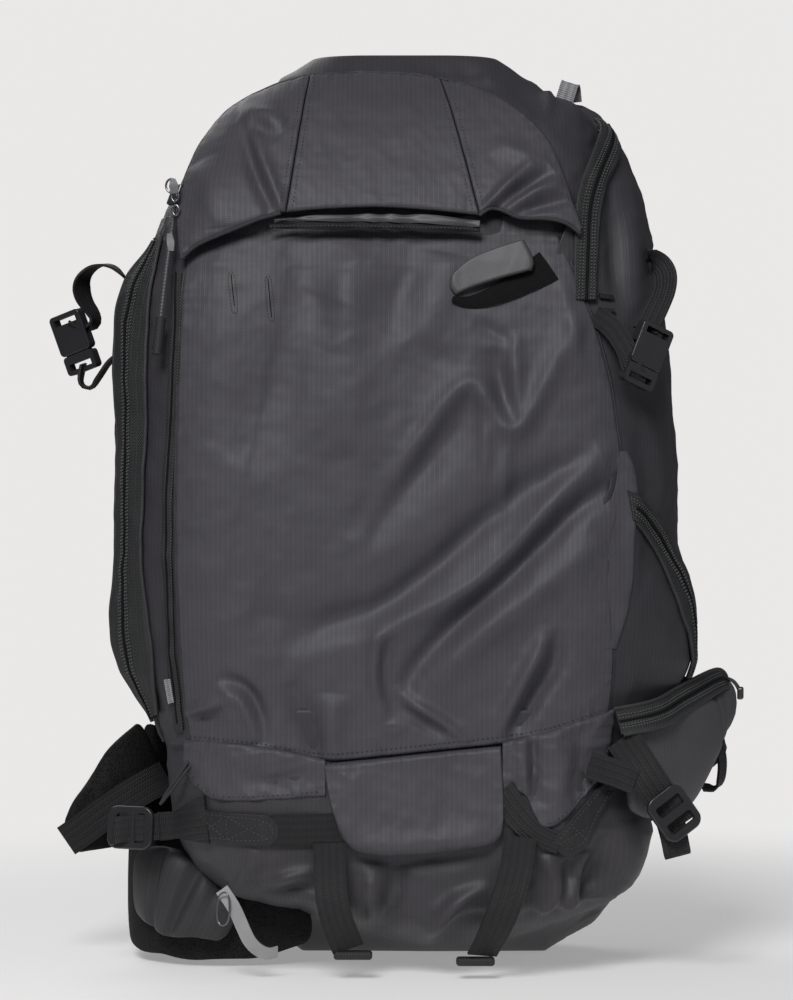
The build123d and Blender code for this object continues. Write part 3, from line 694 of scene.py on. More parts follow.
def stitches(name, lines, finish, body, slot, length=0.0016, radius=0.00035):
    """Rows of stitches: one modelled thread bead, copied along each row and joined."""
    bpy.ops.object.select_all(action="DESELECT")
    bpy.ops.mesh.primitive_uv_sphere_add(segments=6, ring_count=4, radius=1)
    bead = bpy.context.object
    bead.scale = (length / 2, radius, radius)
    bpy.ops.object.transform_apply(location=False, rotation=False, scale=True)
    bpy.ops.object.shade_smooth()
    copies = []
    for spots, outward in lines:
        for i in range(len(spots) - 1):
            ahead = Vector(spots[i + 1] - spots[i]).normalized()
            up = Vector(outward[i]).normalized()
            turn = Matrix((ahead, up.cross(ahead), up)).transposed().to_4x4()
            copy = bpy.data.objects.new(name, bead.data.copy())
            copy.data.transform(Matrix.Translation(Vector((spots[i] + spots[i + 1]) / 2)) @ turn)
            scene.collection.objects.link(copy)
            copies.append(copy)
    bpy.data.objects.remove(bead)
    for copy in copies:
        copy.select_set(True)
    bpy.context.view_layer.objects.active = copies[0]
    bpy.ops.object.join()
    piece = bpy.context.object
    piece.name = piece.data.name = name
    return finished(piece, finish, body, slot)


thread = moulded("sewing_thread", (0.06, 0.06, 0.064), 0.6)
coil_thread = moulded("coil_thread", (0.085, 0.087, 0.088), 0.45)
dark_thread = moulded("dark_thread", (0.028, 0.028, 0.03), 0.55)
slit_black = moulded("zip_slit", (0.004, 0.004, 0.005), 0.8, Specular_IOR_Level=0.2)
coated = moulded("pale_coated_edge", (0.07, 0.069, 0.073), 0.5)
taped = Finish("binding_tape", Specular_IOR_Level=0.3)
spot, u, v = taped.weave()
rib = v.ridge(0.0011) ** 2
taped.drive(Base_Color=taped.blend(rib, (0.008, 0.008, 0.009, 1), (0.03, 0.03, 0.032, 1)),
            Roughness=0.62 - rib * 0.1, Normal=taped.bump(rib, 0.00025))

MOUTH_LINE = [(-0.076, 0.47), (-0.0665, 0.4712), (-0.03, 0.4722), (0.01, 0.4716), (0.035, 0.47), (0.0515, 0.468)]
BIND_LINE = [(-0.079, 0.467), (-0.0665, 0.4675), (-0.03, 0.4676), (0.01, 0.4668), (0.035, 0.4662), (0.052, 0.465)]
lip = strip("pocket_lip", MOUTH_LINE, (0.0004, 0.0034, 0.0044, 0.0048, 0.0056, 0.004), 0.0056, crown=0.0012,
            wave=0.0012)
finished(lip, coated, "front_shell", "patch")
binding = strip("pocket_binding", BIND_LINE, (0.0026, 0.0052, 0.0052, 0.0052, 0.005, 0.0036), 0.0042, crown=0.001,
                wave=0.0009, thick=0.0018)
finished(binding, taped, "front_shell", "zip_tape")
row = surface_line([(x, z - 0.0006) for x, z in BIND_LINE], 0.0056, pitch=0.0024)
stitches("pocket_stitches", [row], thread, "front_shell", "zip_tape")


# ---- Slits, ski strap and topstitching on the front shell ----------------------------------
# Two short bound slits pass a strap. The ski strap is a grey rubbery hook tab, folded round at
# its left end and closed on a black loop strip that shows below it and at its right.
front_top = above(front_height, 0.0002)
slit_rows = []
SLITS = [((-0.1026, 0.438), (-0.1, 0.415)), ((-0.0797, 0.435), (-0.0772, 0.41))]
for i, ((x0, z0), (x1, z1)) in enumerate(SLITS):
    spots, _ = surface_line([(x0, z0), (x1, z1)], front_top, pitch=0.004)
    finished(spline(f"slit_{i}", spots, 0.00028), slit_black, "front_shell", "zip_tape")
    ring = [(x0, z0 + 0.002), (x0 + 0.0022, z0 + 0.001), (x1 + 0.0022, z1 - 0.001), (x1, z1 - 0.002),
            (x1 - 0.0022, z1 - 0.001), (x0 - 0.0022, z0 + 0.001), (x0, z0 + 0.002)]
    slit_rows.append(surface_line(ring, front_top, pitch=0.0021))
stitches("slit_stitches", slit_rows, dark_thread, "front_shell", "ripstop", radius=0.00025)

seam_rows = [surface_line(shifted(line, shift), above(hood_height, 0.0003), pitch=0.0027)
             for line, shift in [(HOOD_LEFT_SEAM, 0.0036), (HOOD_LEFT_SEAM, -0.0036), (HOOD_RIGHT_SEAM, -0.0036),
                                 (HOOD_RIGHT_SEAM, 0.0036)]]
stitches("hood_stitches", seam_rows, thread, "front_shell", "ripstop")

piping_cloth = ripstop("piping_cloth", (0.04, 0.039, 0.043), shine=0.42)


def piping(name, line, out, finish, body, slot, radius=0.0012, seen_flat=True):
    """A covered cord sewn into a seam."""
    spots, _ = surface_line(line, out, seen_flat, pitch=0.006)
    return finished(spline(name, spots, radius), finish, body, slot)


for name, line in [
    ("hood_piping_left", HOOD_LEFT_SIDE + LEFT_CROWN[1:] + MIDDLE_CROWN[1:]),
    ("hood_piping_right", RIGHT_CROWN + HOOD_RIGHT_SIDE[-2::-1]),
    ("hood_piping_low_left", HOOD_LEFT_HEM[:4] + HOOD_LEFT_HEM[-1:]),
    ("hood_piping_low_right", HOOD_RIGHT_HEM),
]:
    piping(name, line, above(hood_height, -0.0012), piping_cloth, "front_shell", "ripstop")

for name, line, shift in [("panel_piping_left", PANEL_LEFT, -0.0006), ("panel_piping_right", PANEL_RIGHT, 0.0006)]:
    piping(name, shifted(line, shift), above(front_height, -0.0022), piping_cloth, "front_shell", "ripstop",
           radius=0.0011)
low_seam = surface_line([(x, z + 0.0045) for x, z in PANEL_BOTTOM], front_top, pitch=0.003)
stitches("panel_stitches", [low_seam], dark_thread, "front_shell", "ripstop")

hypalon = moulded("hook_tab_rubber", (0.062, 0.061, 0.066), 0.5, grain=700, depth=0.00006)
fuzzy = Finish("hook_and_loop_pile", Roughness=0.95, Specular_IOR_Level=0.1)
fluff = fuzzy.noise(fuzzy.place(), 1800, 3)
fuzzy.drive(Base_Color=fuzzy.blend(fluff, (0.002, 0.002, 0.002, 1), (0.024, 0.024, 0.025, 1)),
            Normal=fuzzy.bump(fluff, 0.0012))


def tab_height(x, z, t):
    return 0.3 * front_height(x, z, t) + 0.0066 + 0.002 * np.clip((x - 0.04) / 0.04, 0, 1)


tab = cloth("ski_tab_cloth", (
    [(0.0365, 0.424), (0.044, 0.4275), (0.0605, 0.433), (0.084, 0.4392)],
    [(0.084, 0.4392), (0.0857, 0.4455), (0.079, 0.459)],
    [(0.0332, 0.4355), (0.0445, 0.447), (0.062, 0.454), (0.079, 0.459)],
    [(0.0365, 0.424), (0.0325, 0.429), (0.0332, 0.4355)]), (60, 20), tab_height,
    rolls=(0.0012, 0.003, 0.0012, 0.0045), dip=0.0026, thick=0.0019, pucker=0.0)
finished(tab, hypalon, "ski_tab", "ripstop", "ski_strap_tab")
loop = strip("ski_loop_strip", [(0.0345, 0.4215), (0.045, 0.4195), (0.062, 0.4245), (0.08, 0.434),
                                (0.0945, 0.4435)], (0.004, 0.009, 0.013, 0.017, 0.021), above(front_height, 0.0016),
             crown=0.001, wave=0.0004)
finished(loop, fuzzy, "front_shell", "ripstop")


# ---- Sides: gussets, wide zips, side panels ------------------------------------------------
# The front shell zips to the sides through wide, coated, reverse-coil zips. Between zip and front
# panel lies a ripstop gusset, and behind the zip the side panel runs to the back.
LEFT_STAND = [(0.142, 0), (0.162, 0), (0.19, 0.009), (0.21, 0.009), (0.24, 0.003), (0.265, -0.0005), (0.3, 0),
              (0.35, 0.001), (0.395, 0.002), (0.42, 0.003), (0.44, 0.002), (0.452, -0.002), (0.466, -0.008),
              (0.48, -0.009), (0.5, -0.007), (0.52, -0.001), (0.55, 0.003)]
RIGHT_STAND = [(0.142, 0.004), (0.17, 0.011), (0.2, 0.013), (0.224, 0.007), (0.25, 0), (0.27, -0.007),
               (0.29, -0.006), (0.32, -0.003), (0.42, -0.001), (0.45, -0.001), (0.48, -0.002), (0.51, 0.001),
               (0.525, 0.006), (0.545, 0.011), (0.565, 0.01)]
SIDE_FOLDS = [
    (0.007, -0.003, [(-0.15, 0.262), (-0.148, 0.23), (-0.151, 0.195)]),
    (0.012, 0.0055, [(0.146, 0.525), (0.149, 0.48), (0.152, 0.43), (0.154, 0.38)]),
    (0.006, -0.006, [(0.136, 0.505), (0.1385, 0.47), (0.14, 0.42)]),
    (0.009, -0.0035, [(0.15, 0.38), (0.162, 0.34), (0.164, 0.3)]),
    (0.008, 0.0035, [(0.156, 0.36), (0.17, 0.32), (0.172, 0.29)]),
    (0.006, 0.003, [(0.14, 0.33), (0.15, 0.312), (0.148, 0.28), (0.148, 0.24)]),
]


def side_height(x, z, t):
    left = np.interp(z, *zip(*LEFT_STAND))
    right = np.interp(z, *zip(*RIGHT_STAND))
    reach = np.clip((np.abs(t) - 0.145) / 0.05, 0, 1)
    seen = form_points(t, z)
    front_side = seen[:, 1] < 0
    folds = np.where(front_side, creases(SIDE_FOLDS, seen[:, 0], z), 0)
    fade = np.clip((0.075 - seen[:, 1]) / 0.04, 0, 1)
    return np.where(t < 0, left, right) * reach ** 1.5 * fade + folds + rumple(t, z, 21, 0.0008, 0.14, 0.025)


def turned(points):
    """Places seen from the front, as places round the pack."""
    spots = np.array(points, float)
    return list(zip(across(spots[:, 0], spots[:, 1]), spots[:, 1]))


def at_depth(points, side):
    """Places given by y and height on one side, as places round the pack."""
    spots = np.array(points, float)
    return list(zip(round_to(spots[:, 0], spots[:, 1], side), spots[:, 1]))


def between(left, right):
    """The four edge lines of a piece that runs up between two lines."""
    return [left[0], right[0]], right, [left[-1], right[-1]], left


def zip_middle(outer, inner, out, shift=0.0, pitch=0.0021):
    """A line down the middle of a zip's tape."""
    s = np.linspace(0, 1, 80)
    a, b = run(outer, s), run(inner, s)
    middle = (a + b) / 2 + shift * (b - a) / np.linalg.norm(b - a, axis=1)[:, None]
    return surface_line(middle, out, seen_flat=False, pitch=pitch)


def zip_tape(name, outer, inner, out, cells):
    """A coated zip's two tapes, with the slit they meet in and a row of stitches on each side."""
    edges = between(*sorted((outer, inner), key=lambda line: line[0][0]))
    tape = cloth(name, edges, cells, above(out, 0.0016), seen_flat=False, rolls=NO_ROLLS, thick=0.0014, chart="own")
    spots, _ = zip_middle(outer, inner, above(out, 0.0019), pitch=0.006)
    finished(spline(name + "_slit", spots, 0.0009), slit_black, "pack", "zip_tape")
    rows = [zip_middle(outer, inner, above(out, 0.0019), shift) for shift in (-0.0048, -0.0028, 0.0028, 0.0048)]
    stitches(name + "_stitches", rows, coil_thread, "pack", "zip_tape", length=0.0013, radius=0.00055)
    return finished(tape, zip_cloth, "pack", "zip_tape")


zip_cloth = Finish("zip_tape_cloth", Specular_IOR_Level=0.3)
spot, u, v = zip_cloth.weave()
chevron = (v + u.maths("PINGPONG", 0.003)).ridge(0.0019)
column = u.ridge(0.003) ** 6
weave = chevron * 0.8 + column * 0.3
cloud = zip_cloth.noise(spot, 45, 3)
zip_cloth.drive(Base_Color=zip_cloth.blend((weave * 0.7 + cloud * 0.4).between(0.05, 1.1),
                                           (0.007, 0.0075, 0.0075, 1), (0.068, 0.069, 0.07, 1)),
                Roughness=0.55 + cloud * 0.12, Normal=zip_cloth.bump(weave, 0.0004))

LEFT_INNER = at_depth([(-0.062, 0.1625), (-0.073, 0.176), (-0.08, 0.196), (-0.083, 0.225), (-0.082, 0.2691),
                       (-0.0826, 0.3365), (-0.08, 0.4), (-0.077, 0.43), (-0.071, 0.453), (-0.064, 0.466)], -1)
LEFT_OUTER = at_depth([(-0.032, 0.156), (-0.035, 0.174), (-0.041, 0.2), (-0.046, 0.23), (-0.049, 0.2691),
                       (-0.047, 0.3365), (-0.044, 0.4), (-0.044, 0.43), (-0.049, 0.452), (-0.058, 0.467)], -1)
zip_left = zip_tape("zip_left", LEFT_OUTER, LEFT_INNER, side_height, (40, 200))
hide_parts("side_zips")
RIGHT_TOP_OUTER = turned([(0.1232, 0.422), (0.1257, 0.472), (0.1307, 0.497), (0.14, 0.523), (0.144, 0.532)])
RIGHT_TOP_INNER = turned([(0.111, 0.422), (0.1118, 0.477), (0.1156, 0.497), (0.1262, 0.523), (0.131, 0.538),
                          (0.1325, 0.544)])
zip_tape("zip_right_top", RIGHT_TOP_OUTER, RIGHT_TOP_INNER, above(side_height, 0.0018), (16, 70))
for i, z in enumerate((0.4245, 0.4155)):
    bar = strip(f"bartack_{i}", turned([(0.1255, z + 0.0006), (0.13, z), (0.134, z)]), 0.0032,
                above(side_height, 0.0012), crown=0.0006, pitch=0.001)
    finished(bar, taped, "pack", "ripstop")
RIGHT_LOW_OUTER = at_depth([(-0.033, 0.185), (-0.0388, 0.2004), (-0.044, 0.2242), (-0.0491, 0.246),
                            (-0.0623, 0.2691), (-0.0938, 0.2986), (-0.099, 0.304)], 1)
RIGHT_LOW_INNER = at_depth([(-0.039, 0.183), (-0.048, 0.1978), (-0.0687, 0.2267), (-0.0762, 0.2473),
                            (-0.085, 0.2678), (-0.0955, 0.2807), (-0.099, 0.286)], 1)
zip_tape("zip_right_low", RIGHT_LOW_OUTER, RIGHT_LOW_INNER, above(side_height, 0.001), (20, 80))

side_cloth = ripstop("ripstop_side", (0.042, 0.039, 0.045))

UPRIGHT = [0.142, 0.165, 0.19, 0.22, 0.26, 0.3, 0.35, 0.4, 0.44, 0.48]
gusset_inner = shifted(turned(PANEL_LEFT), 0.012)
gusset_outer = [(-0.168, 0.142), *[(t - 0.006, z) for t, z in LEFT_INNER], (LEFT_INNER[-1][0], 0.48)]
gusset = cloth("gusset_left", between(gusset_outer, gusset_inner), (40, 160), above(side_height, -0.0014),
               seen_flat=False, rolls=NO_ROLLS)
finished(gusset, side_cloth, "pack", "ripstop", "gussets")

BACK_SEAM = 0.128


def to_back(z, side):
    """Distance round to the side panel's seam on the back wall, which BACK_SEAM gives from the middle."""
    left, right, _, back, _, back_r = (float(np.ravel(v)[0]) for v in sections(np.array([z])))
    corner = abs(float(round_to(np.array([back]), np.array([z]), side)[0]))
    return side * (corner + max((-left if side < 0 else right) - back_r - BACK_SEAM, 0.0))


side_outer = [(to_back(z, -1), z) for z in UPRIGHT]
side_inner = [(-0.195, 0.142), *[(t + 0.005, z) for t, z in LEFT_OUTER], (LEFT_OUTER[-1][0] + 0.004, 0.48)]
panel = cloth("side_panel_left", between(side_outer, side_inner), (60, 120), above(side_height, -0.0002),
              seen_flat=False, rolls=(0, 0.003, 0, 0))
finished(panel, side_cloth, "pack", "ripstop", "side_panels")
for name, line in [("zip_left_piping_in", LEFT_INNER), ("zip_left_piping_out", LEFT_OUTER),
                   ("zip_top_piping_in", RIGHT_TOP_INNER), ("zip_top_piping_out", RIGHT_TOP_OUTER),
                   ("zip_low_piping_in", RIGHT_LOW_INNER), ("zip_low_piping_out", RIGHT_LOW_OUTER[1:])]:
    piping(name, line, above(side_height, 0.0012), piping_cloth, "pack", "ripstop", radius=0.0013, seen_flat=False)

sliver = cloth("gusset_right", (
    [(0.128, 0.205), (0.1375, 0.205)],
    [(0.1375, 0.205), (0.148, 0.24), (0.1475, 0.279), (0.1515, 0.311), (0.144, 0.329)],
    [(0.136, 0.329), (0.144, 0.329)],
    [(0.128, 0.205), (0.125, 0.246), (0.126, 0.271), (0.133, 0.298), (0.138, 0.311), (0.136, 0.329)]),
    (16, 60), above(side_height, 0.0012), rolls=(0.002, 0.003, 0.002, 0))
finished(sliver, charcoal, "pack", "ripstop")

# The tool pocket's narrow zip runs down the left edge of the front shell, under the pull cord.
TOOL_LINE = [(-0.1375, 0.44), (-0.1385, 0.387), (-0.1425, 0.323), (-0.1444, 0.26), (-0.1425, 0.2),
             (-0.1369, 0.1526)]
tool_band = strip("tool_zip_band", TOOL_LINE, 0.008, above(side_height, 0.0004), crown=0.0006)
finished(tool_band, zip_cloth, "pack", "zip_tape")
piping("tool_zip_line", TOOL_LINE, above(side_height, 0.001), slit_black, "pack", "zip_tape", radius=0.0007)


# ---- Top -----------------------------------------------------------------------------------
# One ripstop panel over the top, seamed to the hood in front and to the back wall behind. Its
# folds gather at the two corners.
def whole_round(name, cells, heights, out, thick=CLOTH_THICK, lid=0.0, after=None):
    """Cloth that goes all the way round the pack, closed over the top or under the bottom.

    heights(v) gives the height, and how much of the section's size is left.
    """
    piece, u, v = grid_piece(name, *cells)
    u = u * 2
    z, share = heights(v + 0.5)
    left, right, front, back, front_r, back_r = sections(z)
    reach = (np.where(u < 0, -left, right) - front_r + front_r * math.pi / 2 + back - back_r - front - front_r
             + back_r * math.pi / 2 + np.where(u < 0, -left, right) - back_r)
    t = u * reach
    spots = on_pack(t, z, out(t, z, t))
    middle = np.stack([(left + right) / 2, (front + back) / 2, spots[:, 2]], 1)
    spots = middle + (spots - middle) * share[:, None]
    spots[:, 2] += lid * (1 - share ** 2)
    spots = after(spots) if after else spots
    shaped(piece, spots, (t * share, z + 0.08 * (1 - share)))
    joined_up(0.0004)
    return walled(piece, thick)


TOP_EDGE, TOP_SEAM = 0.5855, 0.462


def top_heights(v):
    z = np.where(v < 0.8, TOP_SEAM + (TOP_EDGE - TOP_SEAM) * np.clip(v / 0.8, 0, 1), TOP_EDGE)
    return z, np.clip((1 - v) / 0.2, 0, 1) ** 0.9


TOP_FOLDS = [
    (0.0022, 0.003, [(0.101, 0.572), (0.1, 0.56), (0.099, 0.545)]),
    (0.01, -0.0045, [(0.06, 0.573), (0.085, 0.565), (0.108, 0.545)]),
    (0.009, 0.003, [(0.105, 0.56), (0.118, 0.548), (0.132, 0.53)]),
    (0.01, -0.004, [(0.05, 0.585), (0.047, 0.57), (0.045, 0.56)]),
    (0.012, -0.003, [(0.028, 0.586), (0.027, 0.575), (0.026, 0.568)]),
    (0.014, 0.003, [(0.09, 0.575), (0.11, 0.56), (0.125, 0.54)]),
    (0.012, -0.003, [(-0.075, 0.57), (-0.1, 0.556), (-0.12, 0.535)]),
]


def top_height(x, z, t):
    under = -0.004 * np.clip((0.185 - np.abs(t)) / 0.02, 0, 1) * np.clip((0.572 - z) / 0.006, 0, 1)
    seen = form_points(t, z)
    folds = np.where(seen[:, 1] < 0.03, creases(TOP_FOLDS, seen[:, 0], z), 0)
    folds = (folds + rumple(t, z, 31, 0.0006, 0.14, 0.025)) * np.clip((0.585 - z) / 0.01, 0, 1)
    return side_height(x, z, t) * np.clip((0.57 - z) / 0.03, 0, 1) + under + folds


top = whole_round("top_cloth", (260, 90), top_heights, top_height, lid=0.0035)
finished(top, side_cloth, "pack", "ripstop", "top_panel")

# The right side panel is one length of cloth from the base to the pack's top corner.
right_inner = [(t - 0.012, z) for t, z in turned([(x, z) for x, z in PANEL_RIGHT if z < 0.475])]
right_inner = [(0.135, 0.142), *right_inner, *[(t + 0.003, z) for t, z in RIGHT_TOP_INNER[2:-1]]]
right_outer = [(to_back(z, 1), z) for z in [*UPRIGHT, 0.505, 0.52, RIGHT_TOP_OUTER[-1][1]]]
panel = cloth("side_panel_right", between(right_inner, right_outer), (110, 170),
              lambda x, z, t: np.maximum(side_height(x, z, t) - 0.0008,
                                         np.where(z > TOP_SEAM, top_height(x, z, t) + 0.0016, -1)),
              seen_flat=False, rolls=(0, 0, 0.0015, 0))
finished(panel, side_cloth, "pack", "ripstop")


# ---- Base ----------------------------------------------------------------------------------
# One tough ripstop shell under the pack and up to the front panel's seam. It sags, so that its
# front edge is clear of the ground and highest at the left.
SAG = [(-0.15, 0.006), (-0.12, 0.016), (-0.088, 0.029), (-0.062, 0.034), (-0.014, 0.022), (0.017, 0.0145),
       (0.04, 0.015), (0.065, 0.018), (0.098, 0.025), (0.128, 0.024), (0.155, 0.014)]
SAG_REACH = 0.1
BASE_FOLDS = [
    (0.011, -0.0065, [(0.108, 0.092), (0.118, 0.07), (0.124, 0.045)]),
    (0.009, 0.0045, [(0.139, 0.096), (0.144, 0.072), (0.144, 0.048)]),
    (0.0045, -0.004, [(0.0753, 0.04), (0.11, 0.0353), (0.1383, 0.048)]),
    (0.006, 0.0055, [(0.015, 0.012), (0.028, 0.04), (0.048, 0.056), (0.062, 0.056)]),
    (0.0065, -0.005, [(0.026, 0.017), (0.04, 0.033), (0.064, 0.04)]),
    (0.0055, 0.005, [(0.087, 0.033), (0.1036, 0.0542), (0.0923, 0.079)]),
    (0.0055, 0.005, [(0.104, 0.035), (0.1156, 0.0643), (0.1206, 0.08)]),
    (0.006, -0.0055, [(0.12, 0.04), (0.129, 0.064), (0.133, 0.092)]),
    (0.005, -0.0045, [(0.096, 0.034), (0.108, 0.056), (0.106, 0.074)]),
    (0.005, 0.004, [(-0.082, 0.056), (-0.066, 0.065), (-0.048, 0.068)]),
    (0.005, -0.0045, [(-0.09, 0.05), (-0.068, 0.056), (-0.044, 0.058)]),
    (0.006, 0.004, [(-0.106, 0.05), (-0.092, 0.062), (-0.088, 0.082)]),
    (0.0065, -0.0045, [(-0.014, 0.02), (-0.004, 0.042), (0.002, 0.074)]),
    (0.007, 0.0035, [(-0.022, 0.026), (-0.016, 0.048), (-0.014, 0.072)]),
    (0.009, -0.0045, [(-0.04, 0.076), (0.005, 0.074), (0.062, 0.08)]),
]

BASE_TOP = 0.168
FLOOR_SHARE = 0.16


def base_heights(v):
    z = np.where(v < FLOOR_SHARE, 0.0, BASE_TOP * np.clip((v - FLOOR_SHARE) / (1 - FLOOR_SHARE), 0, 1) ** 1.25)
    return z, np.clip(v / FLOOR_SHARE, 0.0, 1) ** 0.8


def sag(x, z):
    """How far the base's front hangs clear of the ground. It dies out with height."""
    return np.interp(x, *zip(*SAG)) * np.clip(1 - z / SAG_REACH, 0, 1)


def base_height(x, z, t):
    seen = form_points(t, z)
    lowered = z + sag(seen[:, 0], z)
    folds = np.where(seen[:, 1] < 0, 1.5 * creases(BASE_FOLDS, seen[:, 0], lowered), 0)
    tucked = -0.0036 * np.clip((z - 0.128) / 0.012, 0, 1)
    folds = folds + 0.008 * np.clip((seen[:, 0] - 0.135) / 0.02, 0, 1) * np.clip(1 - np.abs(z - 0.085) / 0.045, 0, 1)
    return folds * np.clip(z / 0.02, 0, 1) + tucked + rumple(t, z, 41, 0.0007, 0.14, 0.025) * np.clip(z / 0.01, 0, 1)


def sagged(spots):
    """Lifts the front of the base clear of the ground."""
    reach = np.clip((0.035 - spots[:, 1]) / 0.075, 0, 1)
    spots[:, 2] += sag(spots[:, 0], spots[:, 2]) * reach * reach * (3 - 2 * reach)
    return spots


base_cloth = ripstop("ripstop_base", (0.046, 0.043, 0.049), shine=0.47)
base = whole_round("base_cloth", (280, 110), base_heights, base_height, thick=0.0018, after=sagged)
finished(base, base_cloth, "pack", "ripstop", "base_shell")

SKIRT_BUMPS = [
    (0.01, 0.0026, [(-0.12, 0.14), (-0.0837, 0.1372), (-0.056, 0.133)]),
    (0.006, -0.003, [(-0.1, 0.13), (-0.0781, 0.1228), (-0.05, 0.126)]),
    (0.006, 0.0026, [(-0.128, 0.144), (-0.118, 0.128), (-0.106, 0.112)]),
    (0.0036, -0.004, [(0.0843, 0.154), (0.085, 0.135), (0.0862, 0.11)]),
    (0.0045, 0.0036, [(0.0775, 0.154), (0.0785, 0.135), (0.079, 0.115)]),
    (0.008, 0.0036, [(0.096, 0.156), (0.103, 0.128), (0.096, 0.095)]),
    (0.007, -0.003, [(0.115, 0.16), (0.115, 0.13), (0.106, 0.104)]),
]


def skirt_height(x, z, t):
    return 0.0026 + creases(SKIRT_BUMPS, x, z) + rumple(x, z, 47, 0.0007, 0.05, 0.012)


skirt_left = cloth("skirt_left", (
    [(-0.1326, 0.1275), (-0.1207, 0.1137), (-0.1113, 0.1105), (-0.08, 0.112), (-0.044, 0.1149)],
    [(-0.044, 0.1149), (-0.044, 0.1375)],
    [(-0.1345, 0.148), (-0.103, 0.148), (-0.085, 0.146), (-0.066, 0.143), (-0.044, 0.1375)],
    [(-0.1326, 0.1275), (-0.1345, 0.148)]), (80, 30), skirt_height, rolls=(0.003, 0, 0.003, 0.003))
finished(skirt_left, charcoal, "pack", "ripstop")
skirt_right = cloth("skirt_right", (
    [(0.0655, 0.118), (0.08, 0.1168), (0.085, 0.101), (0.09, 0.0949), (0.0969, 0.0949), (0.1107, 0.1061),
     (0.1282, 0.1268)],
    [(0.1282, 0.1268), (0.1345, 0.148), (0.137, 0.168)],
    [(0.0655, 0.1485), (0.092, 0.1545), (0.1105, 0.16), (0.137, 0.168)],
    [(0.0655, 0.118), (0.0655, 0.1485)]), (80, 50), skirt_height, rolls=(0.003, 0.003, 0.003, 0))
finished(skirt_right, charcoal, "pack", "ripstop")
hem_rows = [
    surface_line([(-0.129, 0.1285), (-0.119, 0.1165), (-0.11, 0.1135), (-0.08, 0.115), (-0.045, 0.118)],
                 above(skirt_height, 0.0002)),
    surface_line([(0.093, 0.0985), (0.0975, 0.0985), (0.109, 0.1085), (0.126, 0.129), (0.132, 0.148)],
                 above(skirt_height, 0.0002)),
]
stitches("hem_stitches", hem_rows, dark_thread, "pack", "ripstop")


# ---- Stow flap and reinforcement patches ---------------------------------------------------
# A ripstop flap is sewn along its top edge and curls under at its free lower edge. Patches of
# coated cloth, stitched down round their edges and across, spread the load of the lower webs.
FLAP_FOLDS = [
    (0.01, 0.0018, [(-0.03, 0.13), (-0.03, 0.11), (-0.026, 0.09)]),
    (0.012, -0.0016, [(0.03, 0.14), (0.032, 0.115), (0.03, 0.09)]),
    (0.007, 0.0026, [(-0.032, 0.086), (0.01, 0.085), (0.06, 0.093)]),
]


def flap_height(x, z, t):
    loose = 0.0035 + 0.004 * np.clip((0.135 - z) / 0.05, 0, 1)
    return loose + creases(FLAP_FOLDS, x, z) + rumple(x, z, 53, 0.0006)


flap = cloth("stow_flap_cloth", (
    [(-0.0385, 0.1027), (-0.034, 0.088), (-0.0226, 0.079), (0.0022, 0.0787), (0.0276, 0.0804), (0.052, 0.0836),
     (0.0642, 0.088), (0.066, 0.096)],
    [(0.066, 0.096), (0.0667, 0.115), (0.065, 0.146)],
    [(-0.0456, 0.135), (-0.01, 0.1382), (0.027, 0.1424), (0.065, 0.146)],
    [(-0.0385, 0.1027), (-0.043, 0.118), (-0.0456, 0.135)]), (110, 60), flap_height,
    rolls=(0.009, 0.002, 0.0035, 0.002), dip=0.0052)
finished(flap, charcoal, "stow_flap", "ripstop", "stow_flap")

patch_cloth = ripstop("patch_cloth", (0.02, 0.02, 0.022), rib=0.0014, shine=0.5)


def patch_height(x, z, t):
    return base_height(x, z, t) * 0.6 + 0.0028


LEFT_PATCH = ([(-0.1244, 0.0861), (-0.1, 0.085), (-0.078, 0.0842)],
              [(-0.078, 0.0842), (-0.0722, 0.088), (-0.0725, 0.0985), (-0.08, 0.1036)],
              [(-0.1257, 0.1055), (-0.104, 0.1046), (-0.08, 0.1036)],
              [(-0.1244, 0.0861), (-0.1257, 0.1055)])
RIGHT_PATCH = ([(0.0969, 0.0836), (0.104, 0.0762), (0.113, 0.078), (0.1201, 0.0848)],
               [(0.1201, 0.0848), (0.1226, 0.0974), (0.1376, 0.1206)],
               [(0.0969, 0.0886), (0.113, 0.1065), (0.1301, 0.126), (0.1376, 0.1206)],
               [(0.0969, 0.0836), (0.096, 0.0862), (0.0969, 0.0886)])
left_patch = cloth("patch_left", LEFT_PATCH, (60, 26), patch_height, rolls=(0.0012,) * 4, dip=0.001)
finished(left_patch, patch_cloth, "pack", "patch", "base_webs")
right_patch = cloth("patch_right", RIGHT_PATCH, (40, 40), patch_height, rolls=(0.0012,) * 4, dip=0.001)
finished(right_patch, patch_cloth, "pack", "patch")

patch_rows = [surface_line(line, above(patch_height, 0.0001), pitch=0.0026) for line in [
    [(-0.1225, 0.0885), (-0.079, 0.0868), (-0.075, 0.094), (-0.081, 0.101), (-0.1235, 0.103)],
    [(-0.1225, 0.0885), (-0.1235, 0.103)], [(-0.104, 0.0876), (-0.1045, 0.102)],
    [(-0.1225, 0.0885), (-0.1045, 0.102)], [(-0.1235, 0.103), (-0.104, 0.0876)],
    [(-0.104, 0.0876), (-0.08, 0.1)], [(-0.1045, 0.102), (-0.079, 0.088)],
    [(0.099, 0.087), (0.106, 0.08), (0.118, 0.0865), (0.1205, 0.0985), (0.1345, 0.1205), (0.13, 0.1225),
     (0.114, 0.104), (0.099, 0.087)],
    [(0.1, 0.085), (0.119, 0.096)], [(0.108, 0.096), (0.118, 0.087)],
]]
stitches("patch_stitches", patch_rows, thread, "pack", "patch", length=0.0018)


# ---- Webbing -------------------------------------------------------------------------------
# Ribbed polyester webbing: the tool loops with rubber tips, short webs that join the patches,
# compression webs, load lifters and belt webs. Each lies flat along its own run.
RIB_PITCH = 0.0013


